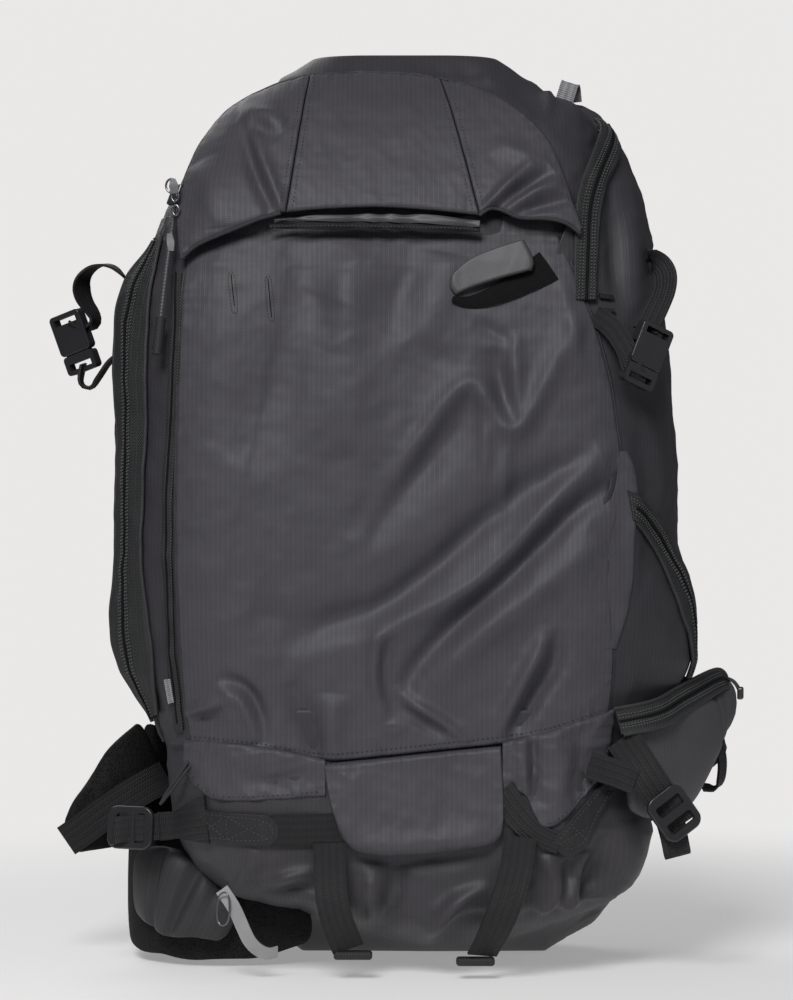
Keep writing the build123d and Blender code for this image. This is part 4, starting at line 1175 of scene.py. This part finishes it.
def webbing(name, tone):
    web = Finish(name, Specular_IOR_Level=0.3)
    spot, u, v = web.weave()
    rib = (v + u.maths("PINGPONG", 0.0011) * 0.5).ridge(RIB_PITCH) ** 1.5
    edge = abs(u).ridge(0.0045) * 0.3
    dust = web.noise(web.place(), 240, 3)
    light = rib * 0.7 + edge + dust * 0.3
    dark, pale = shades(tone, 0.35, 1.5)
    return web.drive(Base_Color=web.blend(light.between(0.05, 1.2), dark, pale), Roughness=0.62 - rib * 0.12,
                     Normal=web.bump(rib * 0.8 + edge * 0.4, 0.00035))


black_web = webbing("webbing_black", (0.02, 0.02, 0.022))
grey_web = webbing("webbing_grey", (0.34, 0.34, 0.35))

STRAP_PITCH, STRAP_THICK = 0.0022, 0.0016


def strap(name, points, side, width, finish, body, slot, *nodes, thick=STRAP_THICK):
    """Webbing that runs through points, in metres. side is the way its width lies, at each point or all."""
    path = softened(points, 3)
    far = distances(path)
    ways = np.array(side if np.ndim(side) == 2 else [side] * 2, float)
    piece, u, v = grid_piece(name, 6, max(int(far[-1] / STRAP_PITCH), 6))
    v = v + 0.5
    s = v * far[-1]
    centre, near, onward = (at_distances(path, far, s + d) for d in (0, -0.0008, 0.0008))
    ahead = onward - near
    way = at_distances(ways, np.linspace(0, 1, len(ways)), v)
    normal = np.cross(ahead, way)
    wide = np.cross(normal, ahead)
    wide /= np.linalg.norm(wide, axis=1)[:, None]
    span = u * np.interp(v, np.linspace(0, 1, np.size(width)), np.atleast_1d(width))
    shaped(piece, centre + wide * span[:, None], (span, s))
    return finished(walled(piece, thick, 0, EDGE_CREASE), finish, body, slot, *nodes)


def web(name, points, side, width, body, *nodes):
    """Black webbing that rides on a body."""
    return strap(name, points, side, width, black_web, body, "webbing", *nodes)


web("tool_loop_left", [(-0.0415, -0.109, 0.086), (-0.041, -0.1165, 0.068), (-0.04, -0.118, 0.052),
                       (-0.036, -0.113, 0.036), (-0.03, -0.101, 0.02)], [(1, 0, 0.05), (1, 0, 0.1), (1, 0, 0.3)],
    0.02, "pack", "tool_loops")
web("tool_loop_right", [(0.0765, -0.111, 0.09), (0.0735, -0.118, 0.07), (0.068, -0.119, 0.052),
                        (0.061, -0.113, 0.033), (0.053, -0.1, 0.016)], [(1, 0, 0.25), (1, 0, 0.3), (1, 0, 0.35)],
    0.02, "pack")
kept(grip_rubber, "tool_loop_tips")

for name, line, width, thick in [
    ("base_web_left", [(-0.078, 0.0938), (-0.06, 0.094), (-0.033, 0.095)], 0.0195, 0.0014),
    ("base_web_right", [(0.064, 0.118), (0.074, 0.104), (0.085, 0.092), (0.101, 0.085)],
     (0.02, 0.018, 0.014, 0.012), 0.0012),
]:
    band = strip(name, line, width, lambda x, z, t: base_height(x, z, t) * 0.4 + 0.0022, thick=thick)
    finished(band, black_web, "pack", "webbing")
ribbon = moulded("satin_ribbon", (0.3, 0.3, 0.305), 0.34, grain=500)
strap("leg_strap", [(-0.1085, -0.096, 0.056), (-0.1, -0.103, 0.045), (-0.095, -0.104, 0.033),
                    (-0.09, -0.101, 0.022), (-0.081, -0.097, 0.0155), (-0.074, -0.094, 0.017)],
      [(0.95, -0.1, 0.3), (0.9, -0.2, 0.4), (0.5, -0.2, 0.85)], 0.0085, ribbon, "pack", "webbing", thick=0.001)
steel = moulded("bright_steel", (0.2, 0.2, 0.21), 0.3, Metallic=1.0)
ring = spline("leg_ring", [(-0.11, -0.101, 0.054), (-0.104, -0.1035, 0.0555), (-0.103, -0.105, 0.045),
                           (-0.1045, -0.105, 0.035), (-0.1105, -0.102, 0.0345), (-0.1115, -0.101, 0.045)], 0.0006,
              closed=True)
finished(ring, steel, "pack", "webbing")


# ---- Hip belt ------------------------------------------------------------------------------
# Two padded wings sewn to the lumbar area. The left one carries a pleated pouch, the right one a
# zipped pocket. Foam inside air mesh, faced with ripstop, edges bound.
def stuffed(name, stations, side, cells=(36, 70), exponent=3.5, swell=0.0, pleats=(), cap=0.006):
    """Padding swept through stations of x, y, z, width and thickness. side is the way its width lies."""
    rows = softened(stations, 3)
    far = distances(rows[:, :3])
    piece, u, v = grid_piece(name, *cells)
    turn, v = u * 2 * math.pi, v + 0.5
    v = v - 0.1 * np.sin(2 * math.pi * v)
    s = v * far[-1]
    spot, near, onward = (at_distances(rows[:, :3], far, s + d) for d in (0, -0.004, 0.004))
    wide, thick = (np.interp(s, far, rows[:, k]) for k in (3, 4))
    ends = np.ones(len(s))
    for gap in (s, far[-1] - s):
        ends = ends * np.sqrt(np.clip(1 - (1 - np.clip(gap / cap, 0, 1)) ** 2, 0, 1))
    ahead = onward - near
    normal = np.cross(ahead, np.broadcast_to(side, ahead.shape))
    normal /= np.linalg.norm(normal, axis=1)[:, None]
    up = np.cross(normal, ahead)
    up /= np.linalg.norm(up, axis=1)[:, None]
    a, b = np.sin(turn), np.cos(turn)
    a, b = (np.sign(k) * np.abs(k) ** (2 / exponent) for k in (a, b))
    full = thick / 2 * (1 + swell * (1 - a ** 2))
    for where, width, depth in pleats:
        full = full - depth * np.exp(-((s - where * far[-1]) / width) ** 2)
    spots = spot + up * (a * wide / 2 * (0.25 + 0.75 * ends))[:, None] + normal * (b * full * ends)[:, None]
    spots += up * (0.0007 * np.sin(s / 0.0065 + 3 * a))[:, None]
    shaped(piece, spots, (s, a * wide / 2))
    joined_up(0.00015)
    bpy.ops.object.shade_smooth()
    return piece


AIR_FRAMES = 16
UP = (0, 0, 1)


def inflated(piece, pressure, reach):
    """Blows the padding up a little, so that it strains against its seams. No point moves past reach."""
    before = np.empty(len(piece.data.vertices) * 3)
    piece.data.vertices.foreach_get("co", before)
    before = before.reshape(-1, 3)
    air = piece.modifiers.new("air", "CLOTH")
    air.settings.use_pressure = True
    air.settings.uniform_pressure_force = pressure
    air.settings.effector_weights.gravity = 0
    air.settings.tension_stiffness = 12
    air.settings.quality = 5
    air.point_cache.frame_end = AIR_FRAMES
    for frame_number in range(1, AIR_FRAMES + 1):
        scene.frame_set(frame_number)
    bpy.context.view_layer.objects.active = piece
    bpy.ops.object.modifier_apply(modifier=air.name)
    after = np.empty(len(before) * 3)
    piece.data.vertices.foreach_get("co", after)
    moved = after.reshape(-1, 3) - before
    size = np.linalg.norm(moved, axis=1)[:, None]
    moved *= np.minimum(1, reach / np.maximum(size, 1e-9))
    piece.data.vertices.foreach_set("co", (before + moved).ravel())
    piece.data.update()
    scene.frame_set(1)
    return piece


def padding(name, stations, side, pressure, reach, finish, body, slot, *nodes, fill, **shape):
    """A padded piece from its stations: stuffed, blown up a little and finished."""
    pad = inflated(stuffed(name, stations, side, **shape), pressure, reach)
    finished(pad, finish, body, slot, *nodes)


mesh_cloth = Finish("air_mesh", Specular_IOR_Level=0.2)
spot = mesh_cloth.place()
holes = mesh_cloth.node("ShaderNodeTexVoronoi", {"feature": "F1"}, {"Vector": spot, "Scale": 620.0})
pit = 1 - holes.between(0.18, 0.45)
hair = mesh_cloth.noise(spot, 2200, 2)
mesh_cloth.drive(Base_Color=mesh_cloth.blend(pit, (0.012, 0.012, 0.013, 1), (0.005, 0.005, 0.0055, 1)),
                 Roughness=0.85 - hair * 0.1, Normal=mesh_cloth.bump((1 - pit) * 0.8 + hair * 0.2, 0.0006))
pad_cloth = ripstop("pad_cloth", (0.034, 0.033, 0.036), shine=0.52)
# The hip pocket's ripstop has a paler tone than the same cloth elsewhere: painted light on the pocket's face, which
# the camera sees at a grazing angle.
pocket_cloth_painted_light = ripstop("pocket_cloth_painted_light", (0.084, 0.079, 0.086), shine=0.5)

LEFT_WING = [(-0.075, 0.099, 0.085, 0.118, 0.012), (-0.128, 0.101, 0.088, 0.114, 0.013),
             (-0.155, 0.092, 0.091, 0.112, 0.014), (-0.167, 0.069, 0.09, 0.116, 0.014)]
padding("hip_wing_left_pad", LEFT_WING, UP, 2.0, 0.002, mesh_cloth, "hip_wing_left", "spacer_mesh", "hip_wing_left",
        fill=0.7, swell=0.2)
LEFT_LOBE = [(-0.167, 0.07, 0.062, 0.084, 0.01), (-0.1695, 0.035, 0.056, 0.088, 0.01),
             (-0.169, 0.005, 0.048, 0.082, 0.01), (-0.16, -0.02, 0.038, 0.066, 0.009),
             (-0.14, -0.036, 0.033, 0.056, 0.008), (-0.11, -0.04, 0.028, 0.05, 0.008),
             (-0.078, -0.04, 0.026, 0.038, 0.007), (-0.054, -0.038, 0.026, 0.02, 0.006)]
padding("hip_lobe_left", LEFT_LOBE, UP, 2.0, 0.002, mesh_cloth, "hip_wing_left", "spacer_mesh", fill=0.5, swell=0.3)
LEFT_POUCH = [(-0.166, -0.016, 0.052, 0.04, 0.01), (-0.156, -0.034, 0.052, 0.052, 0.016),
              (-0.14, -0.05, 0.047, 0.056, 0.018), (-0.122, -0.055, 0.037, 0.04, 0.014),
              (-0.104, -0.054, 0.028, 0.022, 0.008)]
padding("hip_pouch_cloth", LEFT_POUCH, UP, 3.0, 0.002, pad_cloth, "hip_wing_left", "ripstop", "hip_pouch_left",
        fill=0.4, swell=0.25, pleats=((0.36, 0.0036, 0.006), (0.6, 0.004, 0.006), (0.78, 0.0036, 0.003)))
LEFT_UPPER = [(-0.156, 0.052, 0.113, 0.085, 0.01), (-0.17, 0.042, 0.107, 0.076, 0.01),
              (-0.188, 0.028, 0.095, 0.054, 0.009), (-0.203, 0.014, 0.085, 0.04, 0.008),
              (-0.213, 0.0, 0.077, 0.02, 0.006)]
padding("hip_upper_left", LEFT_UPPER, (-0.1, 0, 1), 2.0, 0.002, mesh_cloth, "hip_wing_left", "spacer_mesh",
        fill=0.5, swell=0.4)
RIGHT_WING = [(0.095, 0.099, 0.115, 0.11, 0.012), (0.15, 0.102, 0.12, 0.108, 0.013),
              (0.186, 0.093, 0.144, 0.078, 0.014), (0.203, 0.071, 0.16, 0.046, 0.015)]
padding("hip_wing_right_pad", RIGHT_WING, UP, 2.0, 0.002, mesh_cloth, "hip_wing_right", "spacer_mesh",
        "hip_wing_right", fill=0.7, swell=0.2)
RIGHT_POCKET = [(0.204, 0.07, 0.162, 0.04, 0.015), (0.2145, 0.038, 0.166, 0.03, 0.018),
                (0.204, 0.001, 0.159, 0.044, 0.018), (0.1865, -0.04, 0.141, 0.076, 0.016),
                (0.1642, -0.0745, 0.133, 0.076, 0.012), (0.144, -0.092, 0.136, 0.06, 0.007)]
padding("hip_pocket_cloth", RIGHT_POCKET, UP, 4.0, 0.003, pocket_cloth_painted_light, "hip_wing_right", "ripstop",
        "hip_pocket_right", fill=0.5, cells=(44, 90), swell=0.35, pleats=((0.4, 0.005, 0.002), (0.46, 0.004, 0.002),
                                                                          (0.8, 0.006, 0.001)))

# The pocket's zip lies along its upper edge, in a band of coated tape with piping below.
POCKET_TOP = [(0.1375, -0.1, 0.1605), (0.151, -0.097, 0.1625), (0.167, -0.085, 0.166), (0.1789, -0.0624, 0.1715),
              (0.1934, -0.0397, 0.177), (0.2048, -0.0164, 0.181), (0.213, 0.007, 0.182), (0.219, 0.0308, 0.1785),
              (0.2222, 0.056, 0.1755)]
strap("hip_zip_band", POCKET_TOP, [(-0.25, 0.35, 0.9), (-0.35, 0.3, 0.9), (-0.3, 0.1, 0.95)],
      (0.017, 0.0165, 0.016, 0.015, 0.013, 0.011, 0.01), zip_cloth, "hip_wing_right", "zip_tape", thick=0.0014)
for i, (drops, out, radius, finish) in enumerate([
    ((0, 0, 0), 0.0009, 0.0009, slit_black), ((-0.0085, -0.0078, -0.0048), 0.0006, 0.0013, piping_cloth),
    ((0.0085, 0.0078, 0.0048), 0.0002, 0.0012, piping_cloth),
]):
    line = []
    for k, (x, y, z) in enumerate(POCKET_TOP):
        drop = float(np.interp(k, (0, 4, 8), drops))
        line.append((x + 0.7 * out - 0.32 * drop, y - 0.7 * out + 0.25 * drop, z + 0.93 * drop))
    finished(spline(f"hip_zip_line_{i}", line, radius), finish, "hip_wing_right", "zip_tape")


def along(points, pitch, normal):
    """Stitch places along a line in space."""
    path = softened(points, 3)
    far = distances(path)
    spots = at_distances(path, far, np.arange(0, far[-1], pitch))
    return spots, np.broadcast_to(normal, spots.shape)


rows = []
for drop in (-0.004, -0.0024, 0.0024, 0.004):
    line = [(x + 0.0007 - drop * 0.32, y - 0.0008 + drop * 0.25, z + drop * 0.93) for x, y, z in POCKET_TOP[:7]]
    rows.append(along(line, 0.0021, (0.6, -0.7, 0.3)))
stitches("hip_zip_stitches", rows, coil_thread, "hip_wing_right", "zip_tape", length=0.0013, radius=0.0005)

# The slider's pull hangs from the band by a short link.
strap("hip_slider_link", [(0.2185, 0.0389, 0.1795), (0.2222, 0.0384, 0.179), (0.2252, 0.038, 0.176),
                          (0.2272, 0.0377, 0.1722)], [(0, 1, 0)], (0.006, 0.0055, 0.0036), zinc,
      "hip_pocket_slider", "zinc", thick=0.0024)

# Wide belt webs run round behind both wings.
LEFT_BELT = [(-0.176, 0.07, 0.11), (-0.18, 0.076, 0.11), (-0.194, 0.096, 0.11), (-0.186, 0.115, 0.107),
             (-0.16, 0.123, 0.104), (-0.134, 0.123, 0.104)]
RIGHT_BELT = [(0.213, 0.074, 0.152), (0.216, 0.084, 0.15), (0.225, 0.1, 0.142), (0.21, 0.119, 0.122),
              (0.175, 0.123, 0.108), (0.137, 0.123, 0.104)]
web("belt_web_left", LEFT_BELT, UP, 0.025, "hip_wing_left")
web("belt_web_right", RIGHT_BELT, UP, 0.025, "hip_wing_right")


# ---- Compression straps, buckles and ladder locks ------------------------------------------
# Moulded acetal buckles on flat webbing. The straps hang slack, so they stand off the pack in
# loops, with the free tails doubled back.
acetal = moulded("acetal_black", (0.022, 0.022, 0.024), 0.3)
kept(acetal, "side_buckle_sockets", "side_buckle_left_prongs", "side_buckle_right_prongs", "sternum_buckle_socket",
     "sternum_buckle_prongs", "sternum_clips", "hip_buckle_socket", "hip_buckle_prongs", "ladder_lock_left",
     "ladder_lock_right", "shoulder_locks")
strap("pull_tab_upper", [(-0.14, -0.0835, 0.4985), (-0.1392, -0.085, 0.4945), (-0.1388, -0.085, 0.4895)],
      (1, 0.2, 0.25), (0.0035, 0.006, 0.004), smoke, "tool_zip_pull", "zinc", thick=0.0012)
strap("pull_tab_lower", [(-0.1416, -0.0885, 0.464), (-0.1408, -0.091, 0.4585), (-0.1404, -0.0922, 0.453)],
      (1, 0.2, 0.2), (0.003, 0.0048, 0.0036), smoke, "tool_zip_pull", "zinc", thick=0.0012)
web("side_web_left", [(-0.176, -0.012, 0.442), (-0.184, -0.01, 0.45), (-0.1955, -0.006, 0.451),
                      (-0.2055, -0.002, 0.442), (-0.2045, 0.0, 0.429), (-0.1965, -0.002, 0.419),
                      (-0.1965, -0.004, 0.412), (-0.204, -0.0055, 0.409), (-0.2125, -0.006, 0.414)],
    [(0, 1, 0), (0.4, 0.9, 0.1), (0.6, 0.8, 0.2), (0.4, 0.9, 0), (0, 1, 0)], 0.016, "pack", "compression_webs")
web("side_web_right", [(0.155, -0.056, 0.449), (0.16, -0.061, 0.451), (0.1685, -0.071, 0.443),
                       (0.168, -0.084, 0.43), (0.161, -0.094, 0.416), (0.154, -0.1005, 0.403)],
    [(-0.5, 0.8, 0.3), (-0.8, 0.6, 0.1), (-0.9, 0.3, 0.3)], 0.016, "pack")


def bridging(name, points, side, width, a):
    """Webbing sewn to body a that ends on another body. It is made on body a, then unparented, with its place kept
    in its mesh.
    """
    piece = web(name, points, side, width, a)
    bpy.context.view_layer.update()
    piece.parent = None
    piece.matrix_world = Matrix.Identity(4)
    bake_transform(piece)


bridging("side_web_low_left", [(-0.177, 0.0, 0.394), (-0.186, 0.001, 0.39), (-0.193, 0.001, 0.379),
                               (-0.199, -0.001, 0.37), (-0.206, -0.004, 0.374), (-0.2034, -0.006, 0.3864)],
         (0.1, 1, 0), 0.015, "pack")
bridging("side_web_low_right", [(0.123, -0.099, 0.413), (0.133, -0.103, 0.406), (0.142, -0.108, 0.392),
                                (0.145, -0.109, 0.38), (0.148, -0.106, 0.374)],
         [(0, 0.1, 1), (0.6, 0.1, 0.8), (0.9, 0.2, 0.3)], 0.013, "pack")
web("ladder_tab_left", [(-0.118, -0.093, 0.099), (-0.129, -0.085, 0.097), (-0.14, -0.069, 0.093),
                        (-0.15, -0.065, 0.092)], (0, 0, 1), (0.03, 0.024, 0.017, 0.018), "pack")
for i in range(2):
    line = [(-0.1255 + 0.002 * i, -0.088, 0.142 - 0.004 * i), (-0.133, -0.085, 0.13 - 0.003 * i),
            (-0.14, -0.079, 0.12 - 0.003 * i), (-0.146, -0.07, 0.112 - 0.002 * i), (-0.149, -0.061, 0.106)]
    finished(spline(f"tie_cord_{i}", line, 0.0011), piping_cloth, "pack", "webbing")
web("ladder_tab_right", [(0.119, -0.101, 0.134), (0.136, -0.1035, 0.129), (0.148, -0.105, 0.124)], (0, 0.1, 1),
    0.017, "pack")
bridging("lock_web_right", [(0.14, -0.098, 0.15), (0.147, -0.1038, 0.14), (0.154, -0.105, 0.129),
                            (0.1638, -0.1022, 0.1137), (0.1706, -0.1013, 0.1038), (0.1758, -0.1005, 0.0962)],
         (0.82, -0.05, 0.57), 0.0215, "pack")
web("lock_tail_right", [(0.17, -0.1, 0.103), (0.1722, -0.1, 0.09), (0.1745, -0.1, 0.0785),
                        (0.1745, -0.097, 0.0765), (0.1725, -0.095, 0.088), (0.169, -0.0955, 0.1)],
    [(0.82, -0.05, -0.35), (0.93, 0, 0.25), (0.93, 0, 0.25), (0.82, -0.05, 0)], 0.0165, "ladder_lock_right")
web("lock_tail_left", [(-0.15, -0.0665, 0.092), (-0.158, -0.069, 0.0915), (-0.167, -0.0655, 0.091),
                       (-0.176, -0.07, 0.0905), (-0.18, -0.064, 0.088), (-0.174, -0.058, 0.087)], (0.05, 0.1, 1),
    0.0165, "ladder_lock_left")
web("belt_stabiliser_left", [(-0.152, 0.03, 0.116), (-0.17, 0.018, 0.107), (-0.19, 0.006, 0.094),
                             (-0.205, -0.005, 0.083), (-0.214, -0.01, 0.077)], (-0.45, 0.1, 0.9), 0.021,
    "hip_wing_left")
web("belt_loop_right", [(0.205, 0.03, 0.143), (0.213, 0.034, 0.137), (0.2165, 0.036, 0.124), (0.214, 0.036, 0.107),
                        (0.202, 0.034, 0.108)], (0.5, 0.8, 0.2), 0.011, "hip_wing_right")
strap("top_tab_grey", [(0.109, 0.006, 0.557), (0.1115, 0.006, 0.565), (0.1135, 0.01, 0.5715), (0.115, 0.015, 0.568),
                       (0.116, 0.018, 0.559)], (0.93, 0.1, -0.35), 0.0115, grey_web, "pack", "webbing")
tag = strip("side_tag", [(-0.1432, 0.186), (-0.1425, 0.179), (-0.1408, 0.171)], 0.005, above(side_height, 0.0024),
            thick=0.0006)
finished(tag, grey_web, "pack", "patch")


# ---- Back: wall and pads -------------------------------------------------------------------
# The wall against the wearer's back is flat ripstop. Foam pads faced with air mesh lie on it: one
# high up, two side by side below, and a lumbar pad between the wings.
def upright(name, edges, cells, y):
    """A flat cloth piece that stands at depth y(x, z). edges holds its left, right, low and high edge."""
    left, right, low, high = edges
    piece, u, v = grid_piece(name, *cells)
    x, z = left + (right - left) * (u + 0.5), low + (high - low) * (v + 0.5)
    shaped(piece, np.stack([x, y(x, z), z], 1), (x, z))
    bpy.ops.object.mode_set(mode="EDIT")
    bpy.ops.mesh.select_all(action="SELECT")
    bpy.ops.mesh.flip_normals()
    bpy.ops.object.mode_set(mode="OBJECT")
    return walled(piece, CLOTH_THICK)


back_wall = upright("back_wall_cloth", (-0.137, 0.137, 0.142, 0.48), (60, 80),
                    lambda x, z: 0.0874 - 0.008 * np.clip((np.abs(x) - 0.125) / 0.02, 0, 1) ** 2
                    + 0.6 * rumple(x, z, 61, 0.0012))
finished(back_wall, pad_cloth, "pack", "ripstop", "back_wall")
PADS = [("upper_pad", (0, 0.0945, 0.378), 0.092, 0.2), ("left_pad", (-0.057, 0.0945, 0.258), 0.132, 0.086),
        ("right_pad", (0.057, 0.0945, 0.258), 0.132, 0.086), ("lumbar_pad", (0, 0.0975, 0.121), 0.122, 0.128)]
for name, (x, y, z), tall, width in PADS:
    row = [(x - width / 2, y, z, tall * 0.86, 0.012), (x - width / 4, y, z, tall, 0.0135), (x, y, z, tall, 0.0135),
           (x + width / 4, y, z, tall, 0.0135), (x + width / 2, y, z, tall * 0.86, 0.012)]
    padding(name, row, UP, 2.5, 0.003, mesh_cloth, "pack", "spacer_mesh",
            *(["back_pads"] if name == "upper_pad" else []), fill=0.8, cells=(40, 60), exponent=5, swell=0.15,
            cap=0.008)


# ---- Shoulder harness ----------------------------------------------------------------------
# Curved foam straps faced with air mesh, edges bound. Webs run from locks at their lower ends to
# the pack, load lifters from the top. The sternum strap clips on in front.
STRAP_LINE = [(0.042, 0.094, 0.449), (0.045, 0.111, 0.453), (0.051, 0.129, 0.441), (0.059, 0.142, 0.405),
              (0.067, 0.148, 0.36), (0.075, 0.147, 0.31), (0.081, 0.14, 0.262), (0.084, 0.13, 0.222)]
for sign, name in [(-1, "left"), (1, "right")]:
    row = [(sign * x, y, z, 0.06, 0.01) for x, y, z in STRAP_LINE]
    padding(f"shoulder_strap_{name}", row, (1, 0, 0), 2.0, 0.0015, mesh_cloth, "pack", "spacer_mesh",
            *(["shoulder_straps"] if sign < 0 else []), fill=0.8, cells=(36, 120), exponent=4, swell=0.1)
    for edge in (-1, 1):
        line = [(sign * x + edge * 0.0295, y, z) for x, y, z in STRAP_LINE]
        finished(spline(f"strap_binding_{name}_{edge}", line, 0.0022), taped, "pack", "webbing")
    web(f"shoulder_web_{name}", [(sign * 0.086, 0.128, 0.212), (sign * 0.087, 0.126, 0.206),
                                 (sign * 0.1, 0.112, 0.19), (sign * 0.124, 0.0905, 0.172)],
        (1, 0.6 * sign, 0.5 * sign), 0.018, "pack", *(["harness_webs"] if sign < 0 else []))
    web(f"load_lifter_{name}", [(sign * 0.042, 0.13, 0.452), (sign * 0.042, 0.128, 0.458),
                                (sign * 0.042, 0.104, 0.487), (sign * 0.042, 0.089, 0.507)], (1, 0, 0), 0.015,
        "pack")
    web(f"haul_tab_{name}", [(sign * 0.024, 0.078, 0.556), (sign * 0.024, 0.084, 0.553),
                             (sign * 0.024, 0.0885, 0.549)], (1, 0, 0), 0.014, "pack")
web("sternum_left", [(-0.071, 0.1621, 0.345), (-0.047, 0.1621, 0.345), (-0.024, 0.1621, 0.345)], (0, 0, 1), 0.016,
    "sternum_strap", "sternum_web_left")
web("sternum_right", [(0.018, 0.1621, 0.345), (0.045, 0.1621, 0.345), (0.071, 0.1621, 0.345)], (0, 0, 1), 0.016,
    "sternum_prongs", "sternum_web_right")
haul = spline("haul_tube", [(-0.024, 0.095, 0.547), (-0.0241, 0.0962, 0.525), (-0.024, 0.097, 0.508),
                            (0.0, 0.097, 0.5062), (0.024, 0.097, 0.508), (0.0241, 0.0962, 0.525),
                            (0.024, 0.095, 0.547)], 0.005)
finished(haul, taped, "haul_loop", "webbing", "haul_loop")


# ---- Frame, airbag system and trigger ------------------------------------------------------
# Inside: a plastic frame sheet with alloy stays, the fan in its housing, supercapacitors, cells
# and a board in a screwed case, and the folded airbag. Outside: the handle, its sleeve, cable.
kept(moulded("frame_sheet_plastic", (0.1, 0.1, 0.105), 0.5), "frame_sheet")
kept(moulded("stay_alloy", (0.62, 0.62, 0.63), 0.32, Metallic=1.0), "frame_stays")
kept(moulded("housing_plastic", (0.05, 0.052, 0.056), 0.42), "fan_housing_rear", "fan_housing_front",
     "electronics_case", "electronics_lid", "inlet_screen")
kept(moulded("impeller_plastic", (0.14, 0.14, 0.15), 0.36), "impeller")
kept(moulded("motor_steel", (0.5, 0.5, 0.51), 0.3, Metallic=1.0), "fan_motor", "case_screws")
kept(moulded("duct_rubber", (0.025, 0.025, 0.027), 0.7), "air_duct")
kept(moulded("cell_wrap", (0.03, 0.08, 0.22), 0.35), "supercapacitors", "battery_cells")
kept(moulded("green_board", (0.012, 0.13, 0.045), 0.4), "control_board")
kept(moulded("trigger_red", (0.55, 0.03, 0.02), 0.4), "trigger_handle", "power_knob", "trigger_lever")
kept(moulded("sleeve_rubber", (0.03, 0.03, 0.032), 0.55), "trigger_sleeve", "trigger_cable")
bag_cloth = ripstop("airbag_cloth", (0.42, 0.03, 0.02), shine=0.5)
divider_cloth = ripstop("divider_cloth", (0.05, 0.05, 0.055))
kept(divider_cloth, "tool_divider")
BAG = [(-0.1165, 0.0435, 0.335, 0.034, 0.034), (-0.1165, 0.0435, 0.42, 0.035, 0.035),
       (-0.1165, 0.0435, 0.49, 0.035, 0.035), (-0.09, 0.0435, 0.512, 0.036, 0.036),
       (0.0, 0.0435, 0.517, 0.04, 0.036), (0.094, 0.0435, 0.512, 0.036, 0.036),
       (0.1215, 0.0435, 0.49, 0.035, 0.035), (0.1215, 0.0435, 0.42, 0.035, 0.035),
       (0.1215, 0.0435, 0.335, 0.034, 0.034)]
padding("airbag_roll", BAG, (0, 1, 0), 2.0, 0.002, bag_cloth, "pack", "airbag_fabric", "airbag_bundle", fill=0.3,
        cells=(28, 150), exponent=3)
